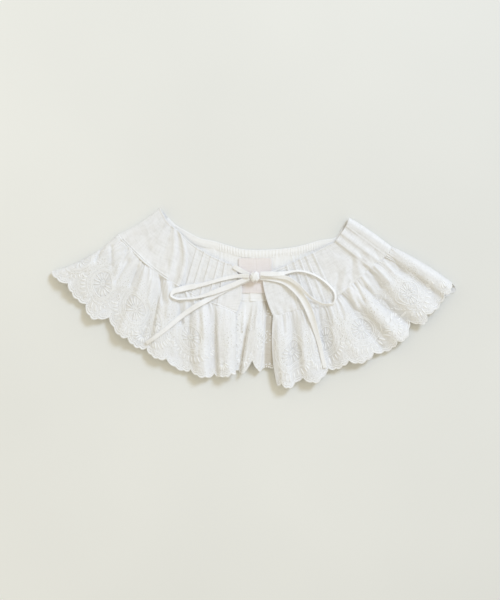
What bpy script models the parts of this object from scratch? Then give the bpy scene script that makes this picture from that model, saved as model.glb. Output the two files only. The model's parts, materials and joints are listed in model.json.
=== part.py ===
"""Detachable cotton collar with an embroidered eyelet ruffle, folded flat and tied in a bow.

The collar lies face up on a plane, seen from above as it is laid out.
Its band is one long tube of cloth folded flat at the two shoulders.
Metres in the meshes, millimetres in the tables; +X to the right, +Z up, the plane at z = 0.
"""

import bpy
import numpy as np
from mathutils import Vector
from mathutils.bvhtree import BVHTree

MM = 0.001

# Cloth
WALL = 1.2
SEAM_GAP = 0.35
LAY_GAP = 0.3

# Gathers and scallops of the ruffle
PUCKER_RISE = 0.8
PUCKER_PITCH = 11.0
PUCKER_END = 0.42
SCALLOP_DEPTH = 4.4
SCALLOP_MEAN = 0.55

# Pintucks of the front yokes
PINTUCK_RISE = 0.75
PINTUCK_HALF = 1.1

# Neck facing
FACING_WALL = 1.0
FACING_FROM = 0.6
FACING_TO = 8.2
RIB_PITCH = 3.2
RIB_RISE = 0.35
RIB_LEFT = -42.0
RIB_RIGHT = 68.0

# Label
LABEL_LEFT = -17.0
LABEL_RIGHT = 17.6
LABEL_TOP = 41.7
LABEL_FOOT = 5.3
LABEL_WALL = 1.0

# Ties and knot
TIE_WALL = 1.0
TIE_LIFT = 0.35
TIE_STEP = 4.0
TIE_SLOPE = 0.32
KNOT_CENTRE = (0.0, 22.1, 8.3)
KNOT_HALF = (5.4, 5.2, 3.6)
KNOT_POWER = 2.8

# Mesh steps
YOKE_STEP = 2.8
BACK_STEP = 8.0
RUFFLE_STEP = 2.8
BACK_RUFFLE_STEP = 4.0
FOLD_STEP = 1.8
FOLD_ZONE = 22.0
YOKE_ROWS = (0.0, 0.2, 0.4, 0.6, 0.8, 1.0)
BACK_ROWS = (0.0, 0.25, 0.5, 0.75, 1.0)
RUFFLE_ROWS = (0.0, 0.08, 0.2, 0.35, 0.52, 0.7, 0.87, 1.0)
BACK_RUFFLE_ROWS = (0.0, 0.1, 0.3, 0.55, 0.8, 1.0)

# Colours, linear
COTTON = (0.80, 0.80, 0.785)
EYELET = (0.82, 0.825, 0.805)
TIE_COTTON = (0.81, 0.80, 0.775)
LABEL_PINK = (0.77, 0.70, 0.655)

# Yoke rows run from the shoulder fold to the centre front, one for each fold or tuck:
# name, neck x, neck y, seam x, seam y, sideways bow, height at the neck, height at the seam, pintuck
YOKE_LEFT = (
    ("under_end", -91.1, 85.0, -136.2, 54.6, 0.0, 0.6, 0.6, 0),
    ("under", -96.3, 90.8, -141.0, 61.4, 1.58, 0.6, 0.6, 0),
    ("fold", -99.0, 94.5, -143.6, 66.2, 2.1, 3.2, 3.2, 0),
    ("over", -97.4, 91.1, -140.4, 61.3, 1.58, 6.0, 6.2, 0),
    ("soft_valley_1", -93.7, 84.0, -131.0, 51.5, 0.0, 5.2, 5.4, 0),
    ("soft_ridge_1", -90.6, 79.3, -115.2, 36.2, 0.0, 5.9, 6.2, 0),
    ("soft_valley_2", -87.4, 76.1, -101.6, 25.6, 1.05, 5.0, 5.2, 0),
    ("ridge_1", -84.8, 74.1, -92.1, 18.9, 3.15, 5.6, 7.0, 0),
    ("valley_1", -81.6, 71.4, -86.4, 15.2, 4.2, 4.9, 5.2, 0),
    ("ridge_2", -78.0, 67.6, -81.1, 12.6, 6.3, 6.0, 7.4, 0),
    ("valley_2", -73.8, 63.5, -77.4, 10.5, 5.25, 4.0, 4.1, 0),
    ("pintuck_1", -60.6, 53.1, -73.8, 8.2, 0.0, 4.0, 4.1, 1),
    ("pintuck_2", -53.3, 48.7, -66.9, 4.3, 0.0, 4.0, 4.1, 1),
    ("pintuck_3", -45.9, 44.3, -58.5, -0.4, 0.0, 4.0, 4.1, 1),
    ("pintuck_4", -37.5, 40.6, -49.6, -4.2, 0.0, 4.0, 4.1, 1),
    ("pintuck_5", -31.2, 37.5, -39.6, -7.4, 0.0, 4.0, 4.1, 1),
    ("centre_front", -24.9, 35.7, -19.7, -15.8, 8.93, 4.0, 4.2, 0),
)
YOKE_RIGHT = (
    ("under_end", 91.3, 72.9, 135.9, 42.6, 0.0, 0.6, 0.6, 0),
    ("under", 95.8, 78.8, 139.9, 48.3, 1.05, 0.6, 0.6, 0),
    ("fold", 99.0, 84.0, 143.1, 53.6, 1.05, 3.4, 3.4, 0),
    ("over", 97.2, 79.8, 141.3, 49.8, 0.0, 6.6, 6.6, 0),
    ("tuck_1", 95.8, 76.0, 137.4, 44.7, 0.0, 7.2, 7.2, 0),
    ("foot_1", 94.0, 73.1, 134.9, 42.1, 0.0, 5.0, 5.0, 0),
    ("tuck_2", 90.6, 68.2, 130.0, 38.0, 0.0, 6.8, 6.8, 0),
    ("foot_2", 88.8, 65.5, 127.3, 35.8, 0.0, 4.7, 4.7, 0),
    ("tuck_3", 85.3, 60.9, 122.1, 31.9, 0.0, 6.5, 6.5, 0),
    ("foot_3", 83.2, 58.4, 118.9, 29.5, 0.0, 4.3, 4.3, 0),
    ("plain_1", 76.9, 55.7, 107.4, 19.1, 0.0, 4.4, 4.6, 0),
    ("plain_2", 69.0, 51.2, 93.7, 7.4, 0.0, 4.3, 4.8, 0),
    ("pintuck_5", 61.2, 47.2, 83.2, -0.6, 0.0, 4.1, 4.4, 1),
    ("pintuck_4", 53.8, 44.3, 74.8, -6.9, 0.0, 4.1, 4.3, 1),
    ("pintuck_3", 47.5, 41.2, 66.4, -9.9, 0.0, 4.1, 4.3, 1),
    ("pintuck_2", 41.2, 38.0, 57.5, -10.7, 0.0, 4.1, 4.3, 1),
    ("pintuck_1", 33.9, 34.4, 47.5, -11.8, 0.0, 4.1, 4.3, 1),
    ("centre_front", 7.6, 24.2, 19.2, -18.9, -2.1, 4.1, 4.3, 0),
)

# The back yoke's rows run from the left shoulder to the right one:
# name, neck x, neck y, seam x, seam y, sideways bow
YOKE_BACK = (
    ("left_end", -91.1, 85.0, -136.2, 54.6, 0.0),
    ("left_shoulder", -82.7, 76.7, -120.5, 42.0, 0.0),
    ("left_blade", -68.0, 68.2, -96.3, 25.2, 0.0),
    ("left_side", -57.5, 63.0, -73.2, 13.7, 0.0),
    ("left_mid", -41.7, 59.4, -47.0, 3.2, 0.0),
    ("left_near", -26.0, 54.6, -23.9, -1.9, 0.0),
    ("left_centre", -15.5, 51.7, -12.3, -3.2, 0.0),
    ("centre", 1.3, 50.4, 1.3, -3.5, 0.0),
    ("right_centre", 26.5, 51.5, 21.3, -2.7, 0.0),
    ("right_near", 47.5, 54.6, 47.5, 2.1, 0.0),
    ("right_mid", 67.5, 60.3, 73.8, 10.5, 0.0),
    ("right_side", 84.3, 63.4, 105.3, 22.8, 0.0),
    ("right_end", 91.3, 72.9, 135.9, 42.6, 0.0),
)

# Ruffle rows, one for each crest and trough: name, row of the yoke at the seam, hem x, hem y,
# height half way, height at the hem, sideways bow, scallops counted along the hem
RUFFLE_LEFT = (
    ("under_end", 0, -197.1, 19.9, 0.6, 0.6, 0.0, -0.35),
    ("under", 1, -204.5, 23.6, 0.6, 0.6, 3.2, 0.0),
    ("fold", 2, -210.8, 28.4, 4, 4, 5.2, 0.35),
    ("over", 3, -206.6, 21.0, 9, 8.5, 2.1, 0.65),
    ("crest_1", 3.46, -194.0, 10.0, 10.5, 10, 0.0, 1.12),
    ("trough_1", 4, -181.4, -5.2, 6.8, 6.2, 0.0, 1.88),
    ("crest_2", 4.47, -169.8, -19.4, 10.4, 9.6, 0.0, 2.4),
    ("trough_2", 4.87, -154.1, -23.1, 6.4, 6.0, 0.0, 3.02),
    ("crest_3", 5.35, -138.3, -40.4, 11, 10.4, 6.3, 3.75),
    ("trough_3", 6.24, -120.5, -51.5, 5.6, 5.4, 4.2, 4.7),
    ("crest_4", 7.26, -99.5, -63.0, 10.2, 9.8, -3.2, 5.7),
    ("trough_4", 10.28, -74.3, -75.1, 5.4, 5.2, 0.0, 6.7),
    ("crest_5", 13.24, -53.3, -81.4, 11.6, 11.2, 2.1, 7.6),
    ("trough_5", 14.26, -43.8, -82.4, 4.1, 4.1, 1.1, 8.0),
    ("crest_6", 15.1, -35.4, -80.3, 12.2, 12, 0.0, 8.45),
    ("crest_7", 15.62, -26.0, -81.9, 11.6, 11.6, 0.0, 8.9),
    ("centre_front", 16, -19.7, -78.2, 7.6, 8, 0.0, 9.25),
)
RUFFLE_RIGHT = (
    ("under_end", 0, 197.7, -1.1, 0.6, 0.6, 0.0, 0.0),
    ("under", 1, 208.7, 10.0, 0.6, 0.6, 0.0, 0.5),
    ("fold", 2, 204.5, 16.8, 5, 5, 2.1, 0.4),
    ("crest_1", 3, 203.2, 6.3, 12, 12, 0.0, 0.8),
    ("trough_1", 4.65, 192.9, -5.2, 5.2, 5.4, 3.2, 1.35),
    ("crest_2", 6.41, 184.0, -15.8, 9.4, 9.4, 3.2, 1.85),
    ("crest_3", 8, 176.1, -25.7, 10.2, 10, 3.2, 2.42),
    ("trough_2", 9.53, 164.1, -26.8, 4.6, 4.8, -5.2, 3.0),
    ("crest_4", 10.15, 156.2, -42.0, 11, 11.2, -4.2, 3.7),
    ("trough_3", 11.3, 135.7, -55.1, 4.8, 5.2, 2.1, 4.62),
    ("crest_5", 12, 109.5, -66.7, 10.6, 10.4, 2.1, 5.6),
    ("crest_6", 12.77, 95.8, -68.8, 9.4, 8.8, 1.1, 6.15),
    ("trough_4", 14.12, 79.0, -76.1, 5.0, 5.6, 0.0, 6.92),
    ("crest_7", 16, 60.1, -87.2, 10.6, 10.6, 1.1, 7.7),
    ("trough_5", 16.33, 46.5, -86.1, 6.6, 7.4, 0.0, 8.15),
    ("crest_8", 16.68, 33.9, -93.0, 11.4, 11.6, 0.0, 8.75),
    ("centre_front", 17, 23.4, -90.3, 7.2, 7.4, -3.2, 9.25),
)
RUFFLE_BACK = (
    ("left_end", 0, -197.1, 19.9, 0.6, 0.6, 0.0, 0),
    ("hidden_1", 0.7, -178.2, 1.1, 1.7, 1.7, 0.0, 0.8),
    ("hidden_2", 1.37, -158.3, -16.8, 0.6, 0.6, 0.0, 1.8),
    ("hidden_3", 2, -134.1, -35.7, 1.9, 1.9, 0.0, 2.8),
    ("hidden_4", 2.78, -110.0, -50.4, 0.6, 0.6, 0.0, 3.8),
    ("hidden_5", 3.52, -84.8, -62.0, 1.9, 1.9, 0.0, 4.8),
    ("hidden_6", 4.23, -60.6, -70.4, 0.6, 0.6, 0.0, 5.8),
    ("hidden_7", 4.82, -36.5, -74.0, 1.2, 1.2, 0.0, 6.7),
    ("hidden_8", 5.27, -23.9, -74.5, 0.8, 0.8, 0.0, 7.1),
    ("crest_1", 5.82, -15.0, -75.6, 4.4, 4.4, 0.0, 7.55),
    ("trough_1", 6.5, -10.2, -77.2, 0.6, 0.6, 0.0, 8.0),
    ("crest_2", 7.11, 1.3, -70.4, 9.6, 9.6, 0.0, 8.55),
    ("trough_2", 7.61, 12.9, -74.0, 0.6, 0.6, 0.0, 9.2),
    ("hidden_9", 8.04, 27.6, -75.6, 1.0, 1.2, 0.0, 9.8),
    ("hidden_10", 8.6, 51.7, -74.5, 0.6, 0.6, 0.0, 10.6),
    ("hidden_11", 9.32, 76.9, -66.2, 1.9, 1.9, 0.0, 11.6),
    ("hidden_12", 10, 102.1, -55.7, 0.6, 0.6, 0.0, 12.6),
    ("hidden_13", 10.6, 127.3, -42.0, 1.9, 1.9, 0.0, 13.6),
    ("hidden_14", 11.17, 153.6, -25.2, 0.6, 0.6, 0.0, 14.5),
    ("hidden_15", 11.64, 185.1, -12.1, 1.5, 1.5, 0.0, 15.4),
    ("right_end", 12, 197.7, -1.1, 0.6, 0.6, 0.0, 16.0),
)

# Tie rows: x, y, roll in degrees, width, least height
LOOP_LEFT = (
    (-5.8, 22.9, 10, 4.2, 10.4),
    (-15.5, 23.1, 8, 5.2, 0),
    (-34.4, 19.7, 8, 5.8, 0),
    (-52.2, 14.7, 8, 5.8, 0),
    (-68.0, 11.3, 12, 5.8, 0),
    (-78.5, 8.8, 35, 5.6, 0),
    (-85.3, 6.3, 70, 5.4, 0),
    (-87.1, 2.7, 88, 5.2, 0),
    (-83.2, -0.4, 75, 5.2, 0),
    (-73.2, -0.8, 50, 5.4, 0),
    (-59.6, 0.8, 25, 5.6, 0),
    (-43.8, 5.7, 12, 5.8, 0),
    (-26.0, 12.2, 8, 5.6, 0),
    (-14.4, 17.2, 8, 4.8, 0),
    (-5.8, 20.4, 8, 4.0, 8.6),
)
LOOP_RIGHT = (
    (5.7, 25.4, 8, 4.2, 10.6),
    (16.0, 25.0, 8, 5.2, 10.4),
    (27.6, 25.2, 20, 5.6, 0),
    (39.1, 27.7, 55, 5.6, 0),
    (50.7, 28.1, 70, 5.6, 0),
    (62.2, 24.4, 70, 5.6, 0),
    (72.7, 17.4, 70, 5.6, 0),
    (81.1, 8.8, 80, 5.4, 0),
    (84.7, 0.6, 88, 5.2, 0),
    (81.5, -5.9, 80, 5.2, 0),
    (73.2, -6.7, 60, 5.4, 0),
    (63.3, -2.9, 35, 5.6, 0),
    (53.8, 4.6, 20, 5.8, 0),
    (45.4, 13.2, 12, 5.8, 0),
    (34.9, 19.7, 8, 5.6, 0),
    (20.2, 22.3, 8, 5.0, 8.8),
    (5.7, 22.9, 8, 4.0, 8.6),
)
TAIL_RIGHT = (
    (5.7, 20.8, 0, 4.0, 6.6),
    (18.1, 20.2, 0, 5.4, 6.4),
    (30.7, 17.4, 10, 5.8, 0),
    (40.2, 10.9, 35, 5.8, 0),
    (47.5, 2.1, 55, 5.8, 0),
    (52.8, -8.4, 50, 5.8, 0),
    (57.5, -21.0, 35, 5.8, 0),
    (62.2, -33.6, 25, 5.4, 0),
    (66.4, -46.2, 18, 4.8, 0),
    (70.1, -59.9, 12, 4.0, 0),
    (73.2, -73.0, 8, 3.0, 0),
)
TAIL_LEFT = (
    (-5.8, 19.1, 0, 4.0, 6.4),
    (-15.5, 15.3, 0, 5.2, 0),
    (-28.1, 9.5, 0, 5.8, 0),
    (-40.7, 2.9, 8, 6, 0),
    (-52.2, -3.4, 12, 6, 0),
    (-63.8, -10.1, 12, 6, 0),
    (-76.4, -18.9, 8, 6, 0),
    (-89.0, -29.4, 4, 6, 0),
    (-101.6, -39.3, 0, 6, 0),
    (-113.1, -47.2, 0, 5.8, 0),
)
LEAD_LEFT = (
    (-22.3, 33.2, 0, 5.2, 0),
    (-16.5, 29.6, 0, 5.2, 0),
    (-10.8, 26.5, 0, 4.6, 0),
    (-5.8, 24.4, 0, 4.0, 6.6),
)


def slopes(knots, values, monotone):
    """Slopes of a cubic through the values, without overshoot where monotone is set."""
    step = np.diff(knots)
    rise = np.diff(values) / step
    out = np.empty(len(knots))
    out[0] = rise[0]
    out[-1] = rise[-1]
    for i in range(1, len(knots) - 1):
        mean = (rise[i - 1] * step[i] + rise[i] * step[i - 1]) / (step[i] + step[i - 1])
        if not monotone:
            out[i] = mean
        elif rise[i - 1] * rise[i] <= 0.0:
            out[i] = 0.0
        else:
            limit = 2.0 * min(abs(rise[i - 1]), abs(rise[i]))
            out[i] = np.sign(mean) * min(abs(mean), limit)
    return out


def through(knots, values, where, monotone=True):
    """Values of the cubic through (knots, values) at each place in where."""
    knots = np.asarray(knots, float)
    values = np.asarray(values, float)
    where = np.clip(np.asarray(where, float), knots[0], knots[-1])
    slope = slopes(knots, values, monotone)
    i = np.clip(np.searchsorted(knots, where, side="right") - 1, 0, len(knots) - 2)
    step = knots[i + 1] - knots[i]
    u = (where - knots[i]) / step
    return (
        values[i] * (1 + 2 * u) * (1 - u) ** 2
        + values[i + 1] * u * u * (3 - 2 * u)
        + slope[i] * step * u * (1 - u) ** 2
        - slope[i + 1] * step * u * u * (1 - u)
    )


class Band:
    """A creased sheet between its near edge (at the neck side) and its far edge."""

    def __init__(self, near, far, middle, bow):
        self.near = np.asarray(near, float)
        self.far = np.asarray(far, float)
        self.middle = np.asarray(middle, float)
        self.bow = np.asarray(bow, float)
        centre = 0.5 * (self.near + self.far)
        centre[:, 2] = self.middle
        steps = np.linalg.norm(np.diff(centre, axis=0), axis=1)
        self.knots = np.concatenate([[0.0], np.cumsum(steps)])
        self.length = float(self.knots[-1])
        self.tucks = []
        self.scallops = None
        self.parent = None

    def place(self, row):
        """Distance along the band of a row, which may lie between two rows."""
        return np.interp(row, np.arange(len(self.knots)), self.knots)

    def edge(self, values, t):
        """One edge of the band at the places t."""
        return np.stack([through(self.knots, values[:, k], t) for k in range(3)], axis=-1)

    def near_edge(self, t):
        """The near edge, which follows the parent's far edge where there is one."""
        if self.parent is None:
            return self.edge(self.near, t)
        rows = through(self.knots, self.rows, t)
        return self.parent.far_edge(self.parent.place(rows))

    def far_edge(self, t):
        """The far edge, without its scallops."""
        return self.edge(self.far, t)

    def points(self, t, v):
        """Points of the middle of the cloth for places t along it and v across it."""
        t = np.asarray(t, float)
        v = np.asarray(v, float)
        near = self.near_edge(t)[:, None, :]
        far = self.far_edge(t)[:, None, :]
        middle = through(self.knots, self.middle, t)[:, None]
        bow = through(self.knots, self.bow, t)[:, None]
        across = far - near
        run = np.hypot(across[..., 0], across[..., 1])
        vv = v[None, :]
        reach = vv.copy() * np.ones_like(run)
        if self.parent is not None:
            reach = vv + (SEAM_GAP / run) * (1 - vv)
        if self.scallops is not None:
            count = through(self.knots, self.scallops, t)[:, None]
            lobe = np.abs(np.sin(np.pi * count)) ** 0.8 - SCALLOP_MEAN
            reach = reach * (1 + lobe * SCALLOP_DEPTH / run)
        x = near[..., 0] + across[..., 0] * reach
        y = near[..., 1] + across[..., 1] * reach
        side = 4 * vv * (1 - vv) * bow
        x = x + side * -across[..., 1] / run
        y = y + side * across[..., 0] / run
        z = (
            near[..., 2] * (1 - vv) * (1 - 2 * vv)
            + middle * 4 * vv * (1 - vv)
            + far[..., 2] * vv * (2 * vv - 1)
        )
        if self.parent is not None:
            raised = np.clip((z - 1.2) / 4.0, 0.0, 1.0)
            fade = np.clip(1 - vv / PUCKER_END, 0.0, 1.0) ** 2 * np.clip(vv / 0.07, 0.0, 1.0)
            wave = np.cos(2 * np.pi * t / PUCKER_PITCH)[:, None]
            z = z + PUCKER_RISE * raised * fade * wave
        for tuck in self.tucks:
            z = z + PINTUCK_RISE * np.exp(-(((t - tuck) / PINTUCK_HALF) ** 2))[:, None]
        return np.stack(np.broadcast_arrays(x, y, z), axis=-1)

    def columns(self, step, start=0.0, stop=0.0):
        """Places along the band for the mesh, closer at the fold and at each pintuck."""
        t = start
        out = [t]
        while t < self.length - stop - 1e-6:
            zone = self.folded and t < FOLD_ZONE
            t = t + (FOLD_STEP if zone else step)
            out.append(t)
        out[-1] = self.length - stop
        if out[-1] - out[-2] < 0.5 * step:
            del out[-2]
        for tuck in self.tucks:
            marks = [tuck - 1.7, tuck, tuck + 1.7]
            out = [k for k in out if abs(k - tuck) > 2.6] + marks
        return np.array(sorted(out))

    folded = False
    rows = None


def yoke(table):
    """A front yoke from its rows."""
    near = [(r[1], r[2], r[6]) for r in table]
    far = [(r[3], r[4], r[7]) for r in table]
    band = Band(near, far, [0.5 * (r[6] + r[7]) for r in table], [r[5] for r in table])
    band.tucks = [band.knots[i] for i, r in enumerate(table) if r[8]]
    band.folded = True
    return band


def back_yoke(table):
    """The flat back yoke from its rows."""
    lie = 0.5 * WALL
    near = [(r[1], r[2], lie) for r in table]
    far = [(r[3], r[4], lie) for r in table]
    return Band(near, far, [lie] * len(table), [r[5] for r in table])


def ruffle(table, parent, folded):
    """A ruffle from its rows, gathered onto the far edge of its yoke."""
    near = parent.far_edge(parent.place([r[1] for r in table]))
    far = [(r[2], r[3], r[5]) for r in table]
    band = Band(near, far, [r[4] for r in table], [r[6] for r in table])
    band.rows = np.array([r[1] for r in table], float)
    band.scallops = np.array([r[7] for r in table], float)
    band.parent = parent
    band.folded = folded
    return band


def finish(name, vertices, faces, colour, roughness):
    """A mesh object with its own material, shaded smooth except at its sharp edges."""
    mesh = bpy.data.meshes.new(name)
    mesh.from_pydata([tuple(float(c) * MM for c in p) for p in vertices], [], faces)
    mesh.update()
    mesh.polygons.foreach_set("use_smooth", [True] * len(mesh.polygons))
    mesh.set_sharp_from_angle(angle=0.9)
    material = bpy.data.materials.new(name + "_cloth")
    material.use_nodes = True
    shader = material.node_tree.nodes["Principled BSDF"]
    shader.inputs["Base Color"].default_value = (*colour, 1.0)
    shader.inputs["Roughness"].default_value = roughness
    mesh.materials.append(material)
    item = bpy.data.objects.new(name, mesh)
    bpy.context.scene.collection.objects.link(item)
    return item


def grid_normals(grid):
    """Upward unit normals of a grid of points."""
    along = np.gradient(grid, axis=0)
    across = np.gradient(grid, axis=1)
    normal = np.cross(along, across)
    return normal / np.linalg.norm(normal, axis=-1, keepdims=True)


def shell(name, grid, wall, colour, flip):
    """A closed sheet of cloth of even thickness around a grid of points."""
    normal = grid_normals(grid) * (-1.0 if flip else 1.0)
    n, m = grid.shape[:2]
    top = (grid + normal * wall / 2).reshape(-1, 3)
    foot = (grid - normal * wall / 2).reshape(-1, 3)
    foot[:, 2] = np.maximum(foot[:, 2], 0.0)
    vertices = np.concatenate([top, foot])
    base = n * m
    faces = []
    for i in range(n - 1):
        for j in range(m - 1):
            a = i * m + j
            quad = (a, a + m, a + m + 1, a + 1)
            faces.append(quad if not flip else quad[::-1])
            under = tuple(base + k for k in quad[::-1])
            faces.append(under if not flip else under[::-1])
    rim = [i * m for i in range(n)]
    rim += [(n - 1) * m + j for j in range(1, m)]
    rim += [i * m + m - 1 for i in range(n - 2, -1, -1)]
    rim += [j for j in range(m - 2, 0, -1)]
    for k, a in enumerate(rim):
        b = rim[(k + 1) % len(rim)]
        quad = (a, base + a, base + b, b)
        faces.append(quad if not flip else quad[::-1])
    return finish(name, vertices, faces, colour, 0.85)


def surface_tree(items):
    """A search tree over the surfaces of the items, in millimetres."""
    vertices = []
    faces = []
    for item in items:
        base = len(vertices)
        vertices += [Vector(v.co) / MM for v in item.data.vertices]
        faces += [tuple(base + k for k in p.vertices) for p in item.data.polygons]
    return BVHTree.FromPolygons(vertices, faces)


def top_of(tree, x, y):
    """Height of what lies at (x, y), or 0 where nothing does."""
    hit = tree.ray_cast(Vector((x, y, 200.0)), Vector((0.0, 0.0, -1.0)))
    return hit[0][2] if hit[0] is not None else 0.0


def tie_path(table, tree):
    """Centre points, rolls and widths of a tie laid over what is below it."""
    xy = np.array([(r[0], r[1]) for r in table], float)
    steps = np.linalg.norm(np.diff(xy, axis=0), axis=1)
    knots = np.concatenate([[0.0], np.cumsum(steps)])
    count = int(round(knots[-1] / TIE_STEP)) + 1
    t = np.linspace(0.0, knots[-1], count)
    x = through(knots, xy[:, 0], t, monotone=False)
    y = through(knots, xy[:, 1], t, monotone=False)
    roll = np.radians(through(knots, [r[2] for r in table], t))
    width = through(knots, [r[3] for r in table], t)
    least = np.interp(t, knots, [r[4] for r in table])
    run = np.stack([np.gradient(x), np.gradient(y)], axis=-1)
    run /= np.linalg.norm(run, axis=-1, keepdims=True)
    half = np.cos(roll) * width / 2
    rise = np.empty(count)
    for i in range(count):
        heights = []
        for f in (-1.15, -0.8, -0.4, 0.0, 0.4, 0.8, 1.15):
            for g in (-1.5, 0.0, 1.5):
                px = x[i] + run[i, 1] * half[i] * f + run[i, 0] * g
                py = y[i] - run[i, 0] * half[i] * f + run[i, 1] * g
                heights.append(top_of(tree, px, py))
        rise[i] = max(heights) + TIE_LIFT
    rise += np.cos(roll) * TIE_WALL / 2 + np.sin(roll) * width / 2
    rise = np.maximum(rise, least)
    spread = np.abs(t[:, None] - t[None, :]) * TIE_SLOPE
    envelope = (rise[None, :] - spread).max(axis=1)
    soft = envelope.copy()
    for _ in range(3):
        soft[1:-1] = 0.25 * soft[:-2] + 0.5 * soft[1:-1] + 0.25 * soft[2:]
        soft = np.maximum(soft, envelope)
    return np.stack([x, y, soft], axis=-1), roll, width


def ribbon(name, table, tree):
    """A flat tie with a rectangular section, rolled about its own line."""
    path, roll, width = tie_path(table, tree)
    run = np.gradient(path, axis=0)
    run /= np.linalg.norm(run, axis=-1, keepdims=True)
    side = np.cross(run, [0.0, 0.0, 1.0])
    side /= np.linalg.norm(side, axis=-1, keepdims=True)
    up = np.cross(side, run)
    broad = np.cos(roll)[:, None] * side + np.sin(roll)[:, None] * up
    thin = np.cross(broad, run)
    vertices = []
    for i in range(len(path)):
        for a, b in ((-1, -1), (1, -1), (1, 1), (-1, 1)):
            offset = broad[i] * a * width[i] / 2 + thin[i] * b * TIE_WALL / 2
            vertices.append(path[i] + offset)
    faces = [(0, 1, 2, 3)]
    for i in range(len(path) - 1):
        for k in range(4):
            a = 4 * i + k
            b = 4 * i + (k + 1) % 4
            faces.append((a, a + 4, b + 4, b))
    last = 4 * (len(path) - 1)
    faces.append((last + 3, last + 2, last + 1, last))
    return finish(name, vertices, faces, TIE_COTTON, 0.8)


def knot(name):
    """The rounded knot of the bow."""
    rings = 9
    around = 20
    vertices = [(KNOT_CENTRE[0], KNOT_CENTRE[1], KNOT_CENTRE[2] + KNOT_HALF[2])]
    power = 2.0 / KNOT_POWER
    for i in range(1, rings):
        lat = np.pi * i / rings
        for k in range(around):
            lon = 2 * np.pi * k / around
            unit = (np.sin(lat) * np.cos(lon), np.sin(lat) * np.sin(lon), np.cos(lat))
            bent = [np.sign(c) * abs(c) ** power for c in unit]
            vertices.append(tuple(KNOT_CENTRE[a] + KNOT_HALF[a] * bent[a] for a in range(3)))
    vertices.append((KNOT_CENTRE[0], KNOT_CENTRE[1], KNOT_CENTRE[2] - KNOT_HALF[2]))
    last = len(vertices) - 1
    faces = []
    for k in range(around):
        n = (k + 1) % around
        faces.append((0, 1 + k, 1 + n))
        foot = 1 + (rings - 2) * around
        faces.append((last, foot + n, foot + k))
        for i in range(rings - 2):
            a = 1 + i * around
            faces.append((a + k, a + around + k, a + around + n, a + n))
    return finish(name, vertices, faces, TIE_COTTON, 0.8)


def facing_grid(band):
    """The gathered facing at the back neck, raised off the back yoke's own points."""
    start = band.knots[1]
    stop = band.knots[-2]
    x_of = band.edge(band.near, np.linspace(start, stop, 400))[:, 0]
    t_of = np.linspace(start, stop, 400)
    ribs = np.arange(np.interp(RIB_LEFT, x_of, t_of), np.interp(RIB_RIGHT, x_of, t_of), RIB_PITCH / 4)
    plain = [k for k in np.arange(start, stop, 6.0) if k < ribs[0] - 2 or k > ribs[-1] + 2]
    t = np.array(sorted([start] + plain[1:] + list(ribs) + [stop]))
    near = band.near_edge(t)
    far = band.far_edge(t)
    across = far - near
    across /= np.linalg.norm(across, axis=-1, keepdims=True)
    height = WALL + LAY_GAP + FACING_WALL / 2
    wave = np.where((t >= ribs[0]) & (t <= ribs[-1]), 1 - np.cos(2 * np.pi * (t - ribs[0]) / RIB_PITCH), 0)
    grid = np.empty((len(t), 2, 3))
    for j, d in enumerate((FACING_FROM, FACING_TO)):
        grid[:, j, :] = near + across * d
        grid[:, j, 2] = height + RIB_RISE * wave
    return grid


def plate(name, left, right, foot, top, height, wall, colour):
    """A thin flat rectangle of cloth."""
    grid = np.array([[(x, y, height) for y in (foot, top)] for x in (left, right)], float)
    return shell(name, grid, wall, colour, False)


def build():
    """Builds every piece of the collar."""
    for item in list(bpy.data.objects):
        bpy.data.objects.remove(item, do_unlink=True)
    left = yoke(YOKE_LEFT)
    right = yoke(YOKE_RIGHT)
    back = back_yoke(YOKE_BACK)
    skirt_left = ruffle(RUFFLE_LEFT, left, True)
    skirt_right = ruffle(RUFFLE_RIGHT, right, True)
    skirt_back = ruffle(RUFFLE_BACK, back, False)
    jobs = (
        ("yoke_front_left", left, YOKE_STEP, YOKE_ROWS, COTTON, True, 0.0),
        ("yoke_front_right", right, YOKE_STEP, YOKE_ROWS, COTTON, False, 0.0),
        ("ruffle_front_left", skirt_left, RUFFLE_STEP, RUFFLE_ROWS, EYELET, True, 0.0),
        ("ruffle_front_right", skirt_right, RUFFLE_STEP, RUFFLE_ROWS, EYELET, False, 0.0),
        ("yoke_back", back, BACK_STEP, BACK_ROWS, COTTON, True, SEAM_GAP),
        ("ruffle_back", skirt_back, BACK_RUFFLE_STEP, BACK_RUFFLE_ROWS, EYELET, True, SEAM_GAP),
    )
    panels = []
    for name, band, step, rows, colour, flip, trim in jobs:
        grid = band.points(band.columns(step, trim, trim), rows)
        panels.append(shell(name, grid, WALL, colour, flip))
    facing = facing_grid(back)
    panels.append(shell("neck_facing_back", facing, FACING_WALL, COTTON, True))
    height = WALL + LAY_GAP + LABEL_WALL / 2
    label = (LABEL_LEFT, LABEL_RIGHT, LABEL_FOOT, LABEL_TOP, height, LABEL_WALL)
    panels.append(plate("label", *label, LABEL_PINK))
    knot("tie_knot")
    for name, table in (
        ("tie_tail_left", TAIL_LEFT),
        ("tie_tail_right", TAIL_RIGHT),
        ("tie_lead_left", LEAD_LEFT),
        ("tie_loop_left", LOOP_LEFT),
        ("tie_loop_right", LOOP_RIGHT),
    ):
        panels.append(ribbon(name, table, surface_tree(panels)))


build()
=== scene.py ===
"""Dresses the detachable cotton collar: eyelet ruffle, pintucked yokes, gathered neck and tied bow.

Lengths in the tables and classes are millimetres. The meshes, the flat sizes of cloth and ties, and
the lamp's place and size are in metres, in the frame of the model.
"""

import json
import logging
import math
from dataclasses import dataclass, field
from enum import Enum
from typing import Callable, Dict, List, NamedTuple, Optional, Sequence, Tuple, Union

import bpy
import numpy as np
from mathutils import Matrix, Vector
from mathutils.bvhtree import BVHTree

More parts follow.
